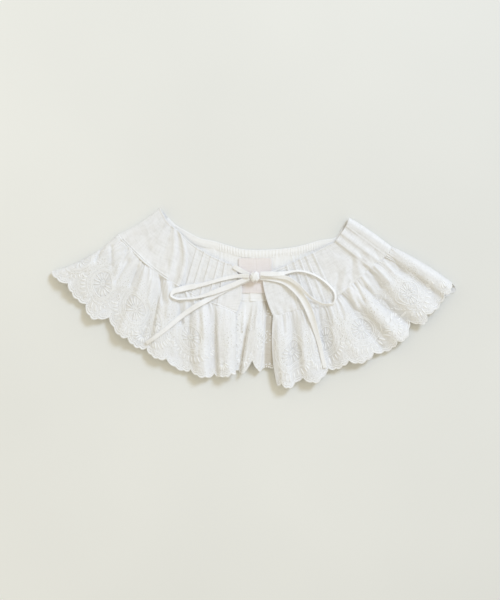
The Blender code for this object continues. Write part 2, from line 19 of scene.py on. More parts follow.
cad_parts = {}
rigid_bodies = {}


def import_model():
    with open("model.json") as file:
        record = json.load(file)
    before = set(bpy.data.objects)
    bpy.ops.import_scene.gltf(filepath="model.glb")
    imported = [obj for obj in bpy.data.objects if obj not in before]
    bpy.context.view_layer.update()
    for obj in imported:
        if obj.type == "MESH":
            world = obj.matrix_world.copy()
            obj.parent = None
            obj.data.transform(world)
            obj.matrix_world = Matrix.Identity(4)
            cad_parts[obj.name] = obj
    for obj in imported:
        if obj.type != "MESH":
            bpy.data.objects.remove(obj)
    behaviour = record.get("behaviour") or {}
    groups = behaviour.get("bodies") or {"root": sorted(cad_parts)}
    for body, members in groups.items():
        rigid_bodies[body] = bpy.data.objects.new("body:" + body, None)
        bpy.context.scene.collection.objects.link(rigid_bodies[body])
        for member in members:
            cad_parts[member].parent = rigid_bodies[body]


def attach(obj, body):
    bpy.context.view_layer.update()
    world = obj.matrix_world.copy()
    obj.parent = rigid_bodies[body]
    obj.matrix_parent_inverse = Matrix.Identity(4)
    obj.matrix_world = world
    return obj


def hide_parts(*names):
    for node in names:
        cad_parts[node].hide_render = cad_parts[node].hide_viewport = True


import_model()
log = logging.getLogger("collar")

MM = 0.001
WALL = 1.2
CLOTH = 0.5
SEAM_LAP = 0.7
SEAM_DROP = 0.38
SEAM_GAP = 0.35
YOKE_WIDTH = 53.0
RUFFLE_WIDTH = 66.0
GATHER_PITCH = 3.4
PITCH = 27.0
OVAL = 1.15
SCALLOP_DEPTH = 4.4
SCALLOP_MEAN = 0.55

# Yoke rows run from under the shoulder fold to the centre front, one for each fold or tuck:
# name, neck x, neck y, seam x, seam y, sideways bow, height at the neck, height at the seam
YOKE_LEFT = (
    ("under_end", -91.1, 85.0, -136.2, 54.6, 0.0, 0.6, 0.6),
    ("under", -96.3, 90.8, -141.0, 61.4, 1.58, 0.6, 0.6),
    ("fold", -99.0, 94.5, -143.6, 66.2, 2.1, 3.2, 3.2),
    ("over", -97.4, 91.1, -140.4, 61.3, 1.58, 6.0, 6.2),
    ("soft_valley_1", -93.7, 84.0, -131.0, 51.5, 0.0, 5.2, 5.4),
    ("soft_ridge_1", -90.6, 79.3, -115.2, 36.2, 0.0, 5.9, 6.2),
    ("soft_valley_2", -87.4, 76.1, -101.6, 25.6, 1.05, 5.0, 5.2),
    ("ridge_1", -84.8, 74.1, -92.1, 18.9, 3.15, 5.6, 7.0),
    ("valley_1", -81.6, 71.4, -86.4, 15.2, 4.2, 4.9, 5.2),
    ("ridge_2", -78.0, 67.6, -81.1, 12.6, 6.3, 6.0, 7.4),
    ("valley_2", -73.8, 63.5, -77.4, 10.5, 5.25, 4.0, 4.1),
    ("pintuck_1", -60.6, 53.1, -73.8, 8.2, 0.0, 4.0, 4.1),
    ("pintuck_2", -53.3, 48.7, -66.9, 4.3, 0.0, 4.0, 4.1),
    ("pintuck_3", -45.9, 44.3, -58.5, -0.4, 0.0, 4.0, 4.1),
    ("pintuck_4", -37.5, 40.6, -49.6, -4.2, 0.0, 4.0, 4.1),
    ("pintuck_5", -31.2, 37.5, -39.6, -7.4, 0.0, 4.0, 4.1),
    ("centre_front", -24.9, 35.7, -19.7, -15.8, 8.93, 4.0, 4.2),
)
YOKE_RIGHT = (
    ("under_end", 91.3, 72.9, 135.9, 42.6, 0.0, 0.6, 0.6),
    ("under", 95.8, 78.8, 139.9, 48.3, 1.05, 0.6, 0.6),
    ("fold", 99.0, 84.0, 143.1, 53.6, 1.05, 3.4, 3.4),
    ("over", 97.2, 79.8, 141.3, 49.8, 0.0, 6.6, 6.7),
    ("tuck_1", 95.8, 76.0, 137.4, 44.7, 0.0, 6.5, 6.6),
    ("foot_1", 94.0, 73.1, 134.9, 42.1, 0.0, 5.2, 5.2),
    ("tuck_2", 90.6, 68.2, 130.0, 38.0, 0.0, 6.4, 6.5),
    ("foot_2", 88.8, 65.5, 127.3, 35.8, 0.0, 5.0, 5.0),
    ("tuck_3", 85.3, 60.9, 122.1, 31.9, 0.0, 6.1, 6.2),
    ("foot_3", 83.2, 58.4, 118.9, 29.5, 0.0, 4.3, 4.3),
    ("plain_1", 76.9, 55.7, 107.4, 19.1, 0.0, 4.4, 4.6),
    ("plain_2", 69.0, 51.2, 93.7, 7.4, 0.0, 4.3, 4.8),
    ("pintuck_5", 61.2, 47.2, 83.2, -0.6, 0.0, 4.1, 4.4),
    ("pintuck_4", 53.8, 44.3, 74.8, -6.9, 0.0, 4.1, 4.3),
    ("pintuck_3", 47.5, 41.2, 66.4, -9.9, 0.0, 4.1, 4.3),
    ("pintuck_2", 41.2, 38.0, 57.5, -10.7, 0.0, 4.1, 4.3),
    ("pintuck_1", 33.9, 34.4, 47.5, -11.8, 0.0, 4.1, 4.3),
    ("centre_front", 7.6, 24.2, 19.2, -18.9, -2.1, 4.9, 5.3),
)

# The back yoke's rows run from the left shoulder to the right one: neck x, neck y, seam x, seam y
YOKE_BACK = (
    (-91.1, 85.0, -136.2, 54.6),
    (-82.7, 76.7, -120.5, 42.0),
    (-68.0, 68.2, -96.3, 25.2),
    (-57.5, 63.0, -73.2, 13.7),
    (-41.7, 59.4, -47.0, 3.2),
    (-26.0, 54.6, -23.9, -1.9),
    (-15.5, 51.7, -12.3, -3.2),
    (1.3, 50.4, 1.3, -3.5),
    (26.5, 51.5, 21.3, -2.7),
    (47.5, 54.6, 47.5, 2.1),
    (67.5, 60.3, 73.8, 10.5),
    (84.3, 63.4, 105.3, 22.8),
    (91.3, 72.9, 135.9, 42.6),
)

# Ruffle rows, one for each crest and trough: row of the yoke at the seam, hem x, hem y,
# height half way, height at the hem, sideways bow, scallops counted along the hem
RUFFLE_LEFT = (
    (0, -197.1, 19.9, 0.6, 0.6, 0.0, -0.35),
    (1, -204.5, 23.6, 0.6, 0.6, 3.2, 0.0),
    (2, -210.8, 28.4, 4, 4, 5.2, 0.35),
    (3, -206.6, 21.0, 9, 8.5, 2.1, 0.65),
    (3.46, -194.0, 10.0, 10.5, 10, 0.0, 1.12),
    (4, -181.4, -5.2, 6.8, 6.2, 0.0, 1.88),
    (4.47, -169.8, -19.4, 10.4, 9.6, 0.0, 2.4),
    (4.87, -154.1, -23.1, 6.4, 6.0, 0.0, 3.02),
    (5.35, -138.3, -40.4, 11, 10.4, 6.3, 3.75),
    (6.24, -120.5, -51.5, 5.6, 5.4, 4.2, 4.7),
    (7.26, -99.5, -63.0, 10.2, 9.8, -3.2, 5.7),
    (10.28, -74.3, -75.1, 5.4, 5.2, 0.0, 6.7),
    (13.24, -53.3, -81.4, 11.6, 11.2, 2.1, 7.6),
    (14.2, -46.6, -82.3, 5.6, 5.6, 1.1, 7.85),
    (14.5, -40.4, -82.1, 5.4, 5.4, 1.1, 8.12),
    (15.1, -34.0, -80.3, 10.4, 10.2, 0.0, 8.45),
    (15.62, -26.0, -81.9, 10.6, 10.6, 0.0, 8.9),
    (16, -19.7, -78.2, 7.6, 8, 0.0, 9.25),
)
RUFFLE_RIGHT = (
    (0, 197.7, -1.1, 0.6, 0.6, 0.0, 0.0),
    (1, 208.7, 10.0, 0.6, 0.6, 0.0, 0.5),
    (2, 204.5, 16.8, 5, 5, 2.1, 0.4),
    (3, 203.2, 6.3, 10.0, 10.0, 0.0, 0.8),
    (4.65, 192.9, -5.2, 6.8, 7.0, 3.2, 1.35),
    (6.41, 184.0, -15.8, 9.4, 9.4, 3.2, 1.85),
    (8, 176.1, -25.7, 9.8, 9.2, 3.2, 2.42),
    (9.53, 164.1, -26.8, 5.6, 5.8, -5.2, 3.0),
    (10.15, 156.2, -42.0, 10.6, 9.8, -4.2, 3.7),
    (11.3, 135.7, -55.1, 5.3, 5.6, 2.1, 4.62),
    (12, 109.5, -66.7, 10.0, 8.6, 2.1, 5.6),
    (12.77, 95.8, -68.8, 9.4, 8.8, 1.1, 6.15),
    (14.12, 79.0, -76.1, 5.0, 5.6, 0.0, 6.92),
    (16, 60.1, -87.2, 10.6, 10.6, 1.1, 7.7),
    (16.33, 46.5, -86.1, 6.6, 7.4, 0.0, 8.15),
    (16.68, 33.9, -93.0, 11.4, 11.6, 0.0, 8.75),
    (17, 23.4, -90.3, 7.2, 7.4, -3.2, 9.25),
)
RUFFLE_BACK = (
    (0, -197.1, 19.9, 0.6, 0.6, 0.0, 0),
    (0.7, -178.2, 1.1, 1.7, 1.7, 0.0, 0.8),
    (1.37, -158.3, -16.8, 0.6, 0.6, 0.0, 1.8),
    (2, -134.1, -35.7, 1.9, 1.9, 0.0, 2.8),
    (2.78, -110.0, -50.4, 0.6, 0.6, 0.0, 3.8),
    (3.52, -84.8, -62.0, 1.9, 1.9, 0.0, 4.8),
    (4.23, -60.6, -70.4, 0.6, 0.6, 0.0, 5.8),
    (4.82, -36.5, -74.0, 1.2, 1.2, 0.0, 6.7),
    (5.12, -27.0, -74.5, 1.0, 1.0, 0.0, 7.05),
    (5.32, -21.2, -74.6, 5.2, 5.0, 0.0, 7.15),
    (5.9, -17.9, -75.0, 4.8, 4.2, 0.0, 7.3),
    (6.5, -15.6, -75.4, 2.9, 2.8, 0.0, 7.42),
    (6.9, -11.4, -77.0, 8.6, 9.4, 0.0, 7.6),
    (7.21, -3.0, -68.2, 9.6, 9.4, 0.0, 8.0),
    (7.5, 4.6, -74.8, 7.6, 7.6, 0.0, 8.42),
    (7.62, 9.0, -72.0, 3.6, 3.6, 0.0, 8.6),
    (7.86, 18.4, -72.6, 4.8, 4.8, 0.0, 8.8),
    (8.04, 25.2, -75.6, 5.0, 5.2, 0.0, 9.5),
    (8.6, 51.7, -74.5, 0.6, 0.6, 0.0, 10.6),
    (9.32, 76.9, -66.2, 1.9, 1.9, 0.0, 11.6),
    (10, 102.1, -55.7, 0.6, 0.6, 0.0, 12.6),
    (10.6, 127.3, -42.0, 1.9, 1.9, 0.0, 13.6),
    (11.17, 153.6, -25.2, 0.6, 0.6, 0.0, 14.5),
    (11.64, 185.1, -12.1, 1.5, 1.5, 0.0, 15.4),
    (12, 197.7, -1.1, 0.6, 0.6, 0.0, 16.0),
)

# Tie rows: x, y, roll in degrees, width, least height
LOOP_LEFT = (
    (-5.8, 22.9, 0, 4.0, 10.4),
    (-15.5, 23.1, -6, 4.0, 0),
    (-34.4, 19.7, -10, 3.9, 0),
    (-52.2, 14.7, -10, 3.9, 0),
    (-60.6, 12.7, -10, 4.0, 0),
    (-62.2, 12.4, -6, 5.8, 0),
    (-70.0, 10.9, -4, 5.9, 0),
    (-78.5, 8.8, -2, 5.8, 0),
    (-85.3, 6.0, 10, 4.6, 0),
    (-87.1, 2.7, 34, 3.4, 0),
    (-83.2, -0.2, 44, 3.0, 0),
    (-73.2, -0.8, 46, 3.0, 0),
    (-59.6, 0.8, 42, 3.4, 0),
    (-43.8, 5.7, 20, 5.0, 0),
    (-26.0, 12.2, 4, 5.6, 0),
    (-14.4, 17.2, 4, 5.2, 0),
    (-5.8, 20.4, 4, 4.0, 8.6),
)
LOOP_RIGHT = (
    (5.7, 25.4, 8, 4.2, 10.6),
    (16.0, 25.0, 6, 5.4, 10.4),
    (26.6, 25.0, 12, 5.4, 0),
    (34.1, 26.6, 36, 3.4, 0),
    (44.7, 28.3, 42, 2.8, 0),
    (55.2, 26.7, 42, 2.7, 0),
    (66.7, 21.7, 40, 2.7, 0),
    (77.1, 13.6, 40, 2.9, 0),
    (84.2, 3.6, 44, 3.3, 0),
    (82.7, -5.3, 42, 3.0, 0),
    (73.2, -6.9, 36, 2.9, 0),
    (63.3, -2.9, 34, 3.0, 0),
    (53.8, 4.6, 30, 3.2, 0),
    (45.4, 13.2, 20, 3.8, 0),
    (34.9, 20.2, 12, 4.4, 0),
    (20.2, 22.9, 8, 4.6, 8.8),
    (5.7, 23.2, 8, 4.0, 8.6),
)
TAIL_RIGHT = (
    (5.7, 20.8, 0, 4.0, 6.6),
    (18.1, 20.2, -2, 5.4, 6.4),
    (30.7, 17.4, -8, 6.4, 0),
    (40.6, 10.9, -12, 7.2, 0),
    (48.8, 2.1, -14, 7.6, 0),
    (55.0, -8.4, -14, 7.6, 0),
    (59.8, -21.0, -12, 6.8, 0),
    (63.6, -33.6, -8, 5.6, 0),
    (67.2, -46.2, -2, 4.8, 0),
    (70.3, -59.9, 0, 4.4, 0),
    (73.2, -73.0, 0, 4.1, 0),
)
TAIL_LEFT = (
    (-5.8, 19.1, 0, 4.0, 6.4),
    (-15.5, 15.3, -2, 4.6, 0),
    (-28.1, 9.5, -10, 4.6, 0),
    (-40.7, 2.9, -14, 5.0, 0),
    (-52.2, -3.4, -14, 5.6, 0),
    (-63.8, -10.1, -14, 5.6, 0),
    (-76.4, -18.9, -14, 5.2, 0),
    (-89.0, -29.4, -12, 4.8, 0),
    (-101.6, -39.3, -8, 4.4, 0),
    (-113.1, -47.2, 0, 4.0, 0),
)
LEAD_LEFT = (
    (-22.3, 33.2, 0, 5.2, 0),
    (-16.5, 29.6, 0, 5.2, 0),
    (-10.8, 26.5, 0, 4.6, 0),
    (-5.8, 24.4, 0, 4.0, 6.6),
)

# Creases, given one by one: start x and y, end x and y, width, height
CREASES_RUFFLE_LEFT = (
    (-158.3, 55.7, -165.6, 39.9, 1.9, -2.4),
    (-149.9, 52.5, -149.9, 33.6, 2.0, -1.6),
    (-133.1, 37.8, -144.6, 17.9, 2.2, -2.4),
    (-122.6, 31.5, -129.9, 14.7, 1.8, -1.7),
    (-142.5, 44.1, -149.9, 36.8, 2.2, 1.4),
    (-116.3, 26.2, -122.6, 5.2, 3.0, 1.7),
    (-98.4, 19.9, -96.3, -2.1, 2.6, -2.8),
    (-106.8, 16.8, -111.0, -4.2, 2.2, 1.9),
    (-91.1, 14.7, -90.0, -2.1, 1.6, 1.3),
    (-87.9, 6.3, -91.1, -16.8, 2.4, 1.5),
    (-79.5, -1.1, -77.4, -25.2, 2.4, -1.9),
    (-66.9, -8.4, -69.0, -33.6, 2.2, -1.5),
    (-72.2, -4.2, -73.2, -23.1, 2.0, 1.5),
    (-54.3, -6.3, -52.2, -37.8, 2.6, 1.9),
    (-43.8, -5.2, -42.3, -86.1, 3.6, -0.9),
    (-30.2, -15.8, -28.1, -79.8, 4.6, 1.2),
    (-170.9, 37.8, -185.6, 29.4, 4.0, 1.0),
    (-179.3, 27.3, -189.8, 18.9, 3.0, -1.1),
    (-143.6, 6.3, -156.2, -10.5, 3.0, -1.4),
    (-110.0, -14.7, -118.4, -39.9, 3.0, -1.8),
    (-133.1, 50.4, -139.4, 37.8, 2.0, -1.3),
    (-127.8, -2.1, -139.4, -33.6, 3.0, 1.1),
    (-82.7, -25.2, -84.8, -54.6, 3.0, 1.3),
    (-164.6, 18.9, -175.1, 4.2, 3.0, 0.9),
    (-137.3, 46.2, -143.6, 29.4, 1.8, 1.2),
    (-165.6, 44.1, -177.2, 37.8, 2.2, -1.0),
    (-57.5, -21.0, -59.6, -60.9, 2.4, -1.2),
)
CREASES_RUFFLE_RIGHT = (
    (148.3, 48.3, 200.8, 15.8, 4.6, 0.90),
    (132.6, 38.9, 152.5, 27.3, 4.2, -1.8),
    (152.5, 27.3, 188.2, 5.2, 4.6, -1.5),
    (116.8, 9.5, 135.7, -7.4, 3.4, -2.9),
    (135.7, -7.4, 168.3, -34.6, 4.2, -2.6),
    (90.6, 3.2, 108.4, -17.9, 3.2, -2.7),
    (108.4, -17.9, 131.5, -50.4, 4.0, -2.4),
    (125.2, 33.6, 139.9, 17.9, 2.4, 1.98),
    (120.0, 27.3, 131.5, 11.6, 1.8, -1.52),
    (111.6, 24.2, 127.3, 1.1, 2.8, 2.07),
    (103.2, 16.8, 113.7, -3.2, 1.9, -1.84),
    (96.9, 13.7, 106.3, -8.4, 2.6, 2.07),
    (83.2, 4.2, 92.7, -17.9, 2.0, -1.60),
    (75.9, -2.1, 83.2, -25.2, 2.4, 1.62),
    (66.4, -9.5, 70.6, -39.9, 2.4, -1.44),
    (70.6, -39.9, 80.1, -71.4, 3.0, -1.28),
    (57.0, -11.6, 60.1, -44.1, 2.6, 1.26),
    (38.1, -15.8, 38.1, -76.7, 3.2, -1.52),
    (29.7, -21.0, 30.7, -35.7, 1.6, -1.36),
    (23.4, -23.1, 22.3, -81.9, 2.6, 1.26),
    (48.6, -18.9, 51.7, -71.4, 3.0, 1.17),
    (139.9, 14.7, 165.1, -6.3, 5.0, 0.81),
    (121.0, -8.4, 142.0, -33.6, 4.0, 0.81),
    (94.8, -33.6, 107.4, -60.9, 4.4, 0.81),
    (144.1, 42.0, 150.4, 33.6, 1.8, -1.12),
    (135.7, 37.8, 143.1, 29.4, 1.6, 1.17),
    (86.4, -4.2, 94.8, -21.0, 1.6, 1.08),
    (61.2, -11.6, 64.3, -33.6, 1.4, -0.80),
)
CREASES_RUFFLE_BACK = (
    (-10.4, -4.0, -12.6, -34.0, 1.3, 1.7),
    (-8.1, -4.0, -9.4, -18.0, 0.9, -1.6),
    (3.2, -4.0, 0.6, -30.0, 1.5, 0.8),
    (8.2, -4.0, 6.4, -26.0, 1.3, -0.9),
)
CREASES_YOKE_LEFT = (
    (-139.4, 60.9, -99.5, 79.8, 2.4, 0.34),
    (-131.0, 53.6, -91.1, 75.6, 2.4, -0.34),
    (-120.5, 48.3, -89.0, 65.1, 3.0, 0.34),
    (-135.2, 57.8, -126.8, 48.3, 2.8, -0.7),
    (-120.5, 42.0, -110.0, 29.4, 2.8, 0.6),
    (-110.0, 37.8, -101.6, 25.2, 2.6, -0.6),
    (-91.1, 37.8, -89.0, 18.9, 2.6, -0.8),
    (-82.7, 50.4, -77.4, 23.1, 2.6, 0.5),
    (-72.2, 37.8, -72.2, 14.7, 2.4, -0.7),
    (-114.2, 60.9, -107.9, 42.0, 3.6, -0.35),
)
CREASES_YOKE_RIGHT = (
    (90.6, 8.4, 95.8, 31.5, 2.2, 1.04),
    (84.3, 2.1, 87.4, 24.2, 2.0, -0.98),
    (102.1, 14.7, 102.1, 37.8, 2.2, -0.98),
    (110.5, 21.0, 106.3, 42.0, 2.4, 0.98),
    (117.9, 27.3, 110.5, 44.1, 2.0, -0.91),
    (76.9, -4.2, 79.0, 16.8, 2.2, 0.78),
    (68.5, -7.4, 70.6, 12.6, 2.2, -0.72),
    (125.2, 33.6, 116.8, 48.3, 2.2, 0.85),
    (131.5, 37.8, 125.2, 50.4, 1.8, -0.65),
    (94.8, 37.8, 79.0, 42.0, 5.0, 0.26),
    (89.5, 50.4, 106.3, 37.8, 4.0, -0.29),
    (96.9, 12.6, 100.0, 25.2, 1.6, -0.65),
    (60.1, -8.4, 61.2, 8.4, 2.0, 0.52),
    (115.8, 37.8, 94.8, 52.5, 3.0, 0.23),
)

# Folds that the gathers draw into the back yoke: place along it in x, reach to the left and right, height
DRAWN_BACK = (
    (-12.5, 3.0, 4.6, 0.5),
    (-4.4, 0.9, 6.0, 1.3),
    (7.2, 1.6, 3.6, 0.5),
)

# Cross-section of a pintuck: place along the yoke, height
PINTUCK_PLACE = (-0.32, -0.28, -0.2, 0.0, 0.5, 1.4, 2.2, 2.45, 2.9)
PINTUCK_HEIGHT = (0.0, 0.55, 0.85, 1.0, 0.95, 0.7, 0.45, 0.15, 0.0)

# The fold of a deep tuck, from its top to its foot: share of the way, share of the height
TUCK_FOLD = (
    (-0.3, 0.98),
    (-0.05, 1.02),
    (0.18, 1.02),
    (0.34, 0.95),
    (0.41, 0.84),
    (0.38, 0.7),
    (0.24, 0.6),
    (0.08, 0.52),
    (0.04, 0.42),
    (0.14, 0.34),
    (0.34, 0.3),
    (0.62, 0.2),
    (1.0, 0.04),
)

# Ridges and grooves along a yoke's stitched seam and along its other edges: distance in, width, height
SEAM_WELT = ((0.6, 0.42, 0.62), (1.7, 0.5, -0.35))
NECK_WELT = ((0.9, 0.7, 0.34), (2.4, 0.5, -0.16))
FRONT_WELT = ((0.8, 0.7, 0.36), (2.3, 0.5, -0.16))

# Edge of the right front where it hangs over the back: y and x
RIGHT_EDGE = ((-78.0, 17.5), (-18.9, 19.2), (23.0, 8.0), (25.0, 99.0))

# Stitches: length, width and height, and how far apart they are
RUNNING = (2.0, 0.42, 0.4)
RUNNING_PITCH = 2.6
WHIPPED = (1.5, 1.5, 1.2)
WHIPPED_PITCH = 1.25

# Satin rings of a wheel: radius, distance between stitches, width, bows
WHEEL_RINGS = ((2.1, 0.8, 0.9, 0), (12.0, 1.3, 1.2, 0), (13.9, 1.3, 0.9, 0), (17.6, 1.4, 1.0, 16))

Row = Tuple
Spot = Tuple[float, float]
Array = np.ndarray
Rows = Tuple[Array, ...]
Colour = Tuple[float, float, float]
Piece = bpy.types.Object
Material = bpy.types.Material
Socket = bpy.types.NodeSocket


class Side(Enum):
    """Which half of the collar a panel is, and the sign that turns its face up."""

    LEFT = -1
    RIGHT = 1


class Motif(Enum):
    """What a scattered bit of needlework is."""

    STITCH = "stitch"
    EYELET = "eyelet"
    # A flat dark disc: the painted shadow seen inside an eyelet
    HOLE = "hole"


def through(knots: Array, values: Sequence[float], where: Array, monotone: bool = True) -> Array:
    """Reads a cubic curve.

    Args:
        knots: Where the values are.
        values: The values to pass through.
        where: The places to read, of any shape.
        monotone: Whether the cubic may not overshoot.

    Returns:
        The value at each place.
    """
    knots, values, where = (np.asarray(a, float) for a in (knots, values, where))
    gap = np.diff(knots)
    rise = np.diff(values) / gap
    before, after = rise[:-1], rise[1:]
    mean = (before * gap[1:] + after * gap[:-1]) / (gap[1:] + gap[:-1])
    if monotone:
        limit = 2.0 * np.minimum(np.abs(before), np.abs(after))
        mean = np.where(before * after <= 0.0, 0.0, np.sign(mean) * np.minimum(np.abs(mean), limit))
    slope = np.concatenate([rise[:1], mean, rise[-1:]])
    where = np.clip(where, knots[0], knots[-1])
    i = np.clip(np.searchsorted(knots, where, side="right") - 1, 0, len(gap) - 1)
    u = (where - knots[i]) / gap[i]
    return (
        values[i] * (1 + 2 * u) * (1 - u) ** 2
        + values[i + 1] * u * u * (3 - 2 * u)
        + slope[i] * gap[i] * u * (1 - u) ** 2
        - slope[i + 1] * gap[i] * u * u * (1 - u)
    )


def bell(x: Array) -> Array:
    """A smooth bump, 1 high at 0."""
    return np.exp(-np.square(x))


def ramp(x: Array, start: float, over: float) -> Array:
    """Rises from 0 at start to 1 a distance further on."""
    return np.clip((x - start) / over, 0.0, 1.0)


def fuller(wave: Array, power: float) -> Array:
    """A sine or cosine drawn out towards 1 and -1, which squares a round section."""
    return np.sign(wave) * np.abs(wave) ** power


def circle(count: int, first: float = 0.0) -> Array:
    """Even angles round a whole circle; first is the place of the first one, in steps."""
    return (np.arange(count) + first) * 2 * math.pi / count


def spread(start: float, stop: float, step: float) -> Array:
    """Even places from start to stop, about a step apart."""
    return np.linspace(start, stop, max(2, int(round((stop - start) / step)) + 1))


def unit(vectors: Array) -> Array:
    """Vectors of length 1."""
    return vectors / np.maximum(np.linalg.norm(vectors, axis=-1, keepdims=True), 1e-9)


def travelled(points: Array) -> Array:
    """Distance gone at each point of a line."""
    return np.concatenate([[0.0], np.cumsum(np.linalg.norm(np.diff(points, axis=0), axis=1))])


def between(where: Array, places: Array, vectors: Array) -> Array:
    """Reads vectors, known at some places of a line, at other places."""
    return np.stack([np.interp(where, places, part) for part in vectors.T], axis=-1)


class Puckers:
    """Small uneven gathers that start at a row of stitches and die out."""

    def __init__(
        self, start: float, stop: float, pitch: float, height: float, reach: float, seed: int
    ) -> None:
        """Draws the gathers.

        Args:
            start: Where they begin along the seam.
            stop: Where they end.
            pitch: Mean distance between two.
            height: Height of the strongest.
            reach: How far the longest run from the seam.
            seed: Seed of the unevenness.
        """
        rng = np.random.default_rng(seed)
        count = max(2, int((stop - start) / pitch))
        place = start + (np.arange(count) + 0.5 + rng.uniform(-0.38, 0.38, count)) * pitch
        width = pitch * rng.uniform(0.2, 0.42, count)
        long = reach * rng.uniform(0.3, 1.0, count)
        high = height * rng.uniform(0.35, 1.0, count)
        self.table = np.stack([place, width, long, high, rng.normal(0.0, 0.1, count)], axis=-1)

    def lift(self, t: Array, d: Array) -> Array:
        """Height that the gathers add.

        Args:
            t: Places along the seam.
            d: Distances from it.

        Returns:
            The heights.
        """
        out = np.zeros(np.broadcast(t, d).shape)
        for place, width, reach, height, lean in self.table:
            side = (t - place - lean * d) / (width * (1 + 0.8 * d / reach))
            out += height * bell(side) * np.exp(-((d / reach) ** 1.6))
        return out * (0.35 + 0.65 * ramp(d, 0.0, 2.0))


class Ripple:
    """The faint unevenness of pressed cotton, as a sum of waves."""

    def __init__(self, height: float, shortest: float, longest: float, seed: int, count: int = 9) -> None:
        """Draws the waves.

        Args:
            height: Height of the unevenness.
            shortest: Shortest wave.
            longest: Longest wave.
            seed: Seed of the waves.
            count: How many waves there are.
        """
        rng = np.random.default_rng(seed)
        wave = np.geomspace(shortest, longest, count)
        turn = rng.uniform(0.0, 2 * np.pi, count)
        fx, fy = (2 * np.pi * part / wave for part in (np.cos(turn), np.sin(turn)))
        phase = rng.uniform(0.0, 2 * np.pi, count)
        self.table = np.stack([fx, fy, phase, height * (wave / longest) ** 0.7 / 2.0], axis=-1)

    def lift(self, x: Array, y: Array) -> Array:
        """Height that the waves add.

        Args:
            x: Places along the cloth.
            y: Places across it.

        Returns:
            The heights.
        """
        out = np.zeros(np.broadcast(x, y).shape)
        for fx, fy, phase, height in self.table:
            out += height * np.sin(fx * x + fy * y + phase)
        return out


class Creases:
    """Soft ridges and grooves, each along a short straight line over the cloth."""

    def __init__(self, table: Sequence[Row] = ()) -> None:
        """Keeps the table: start x and y, end x and y, width, height."""
        self.table = tuple(table)

    def lift(self, x: Array, y: Array) -> Array:
        """Height that the creases add, in millimetres.

        Args:
            x: Places in x.
            y: Places in y.

        Returns:
            The heights.
        """
        out = np.zeros(np.shape(x))
        for x0, y0, x1, y1, width, height in self.table:
            length = math.hypot(x1 - x0, y1 - y0)
            dx, dy = (x1 - x0) / length, (y1 - y0) / length
            along = (x - x0) * dx + (y - y0) * dy
            across = (x - x0) * dy - (y - y0) * dx
            past = np.maximum(0.0, np.maximum(-along, along - length))
            out = out + height * bell(across / width) * bell(past / (1.5 * width))
        return out


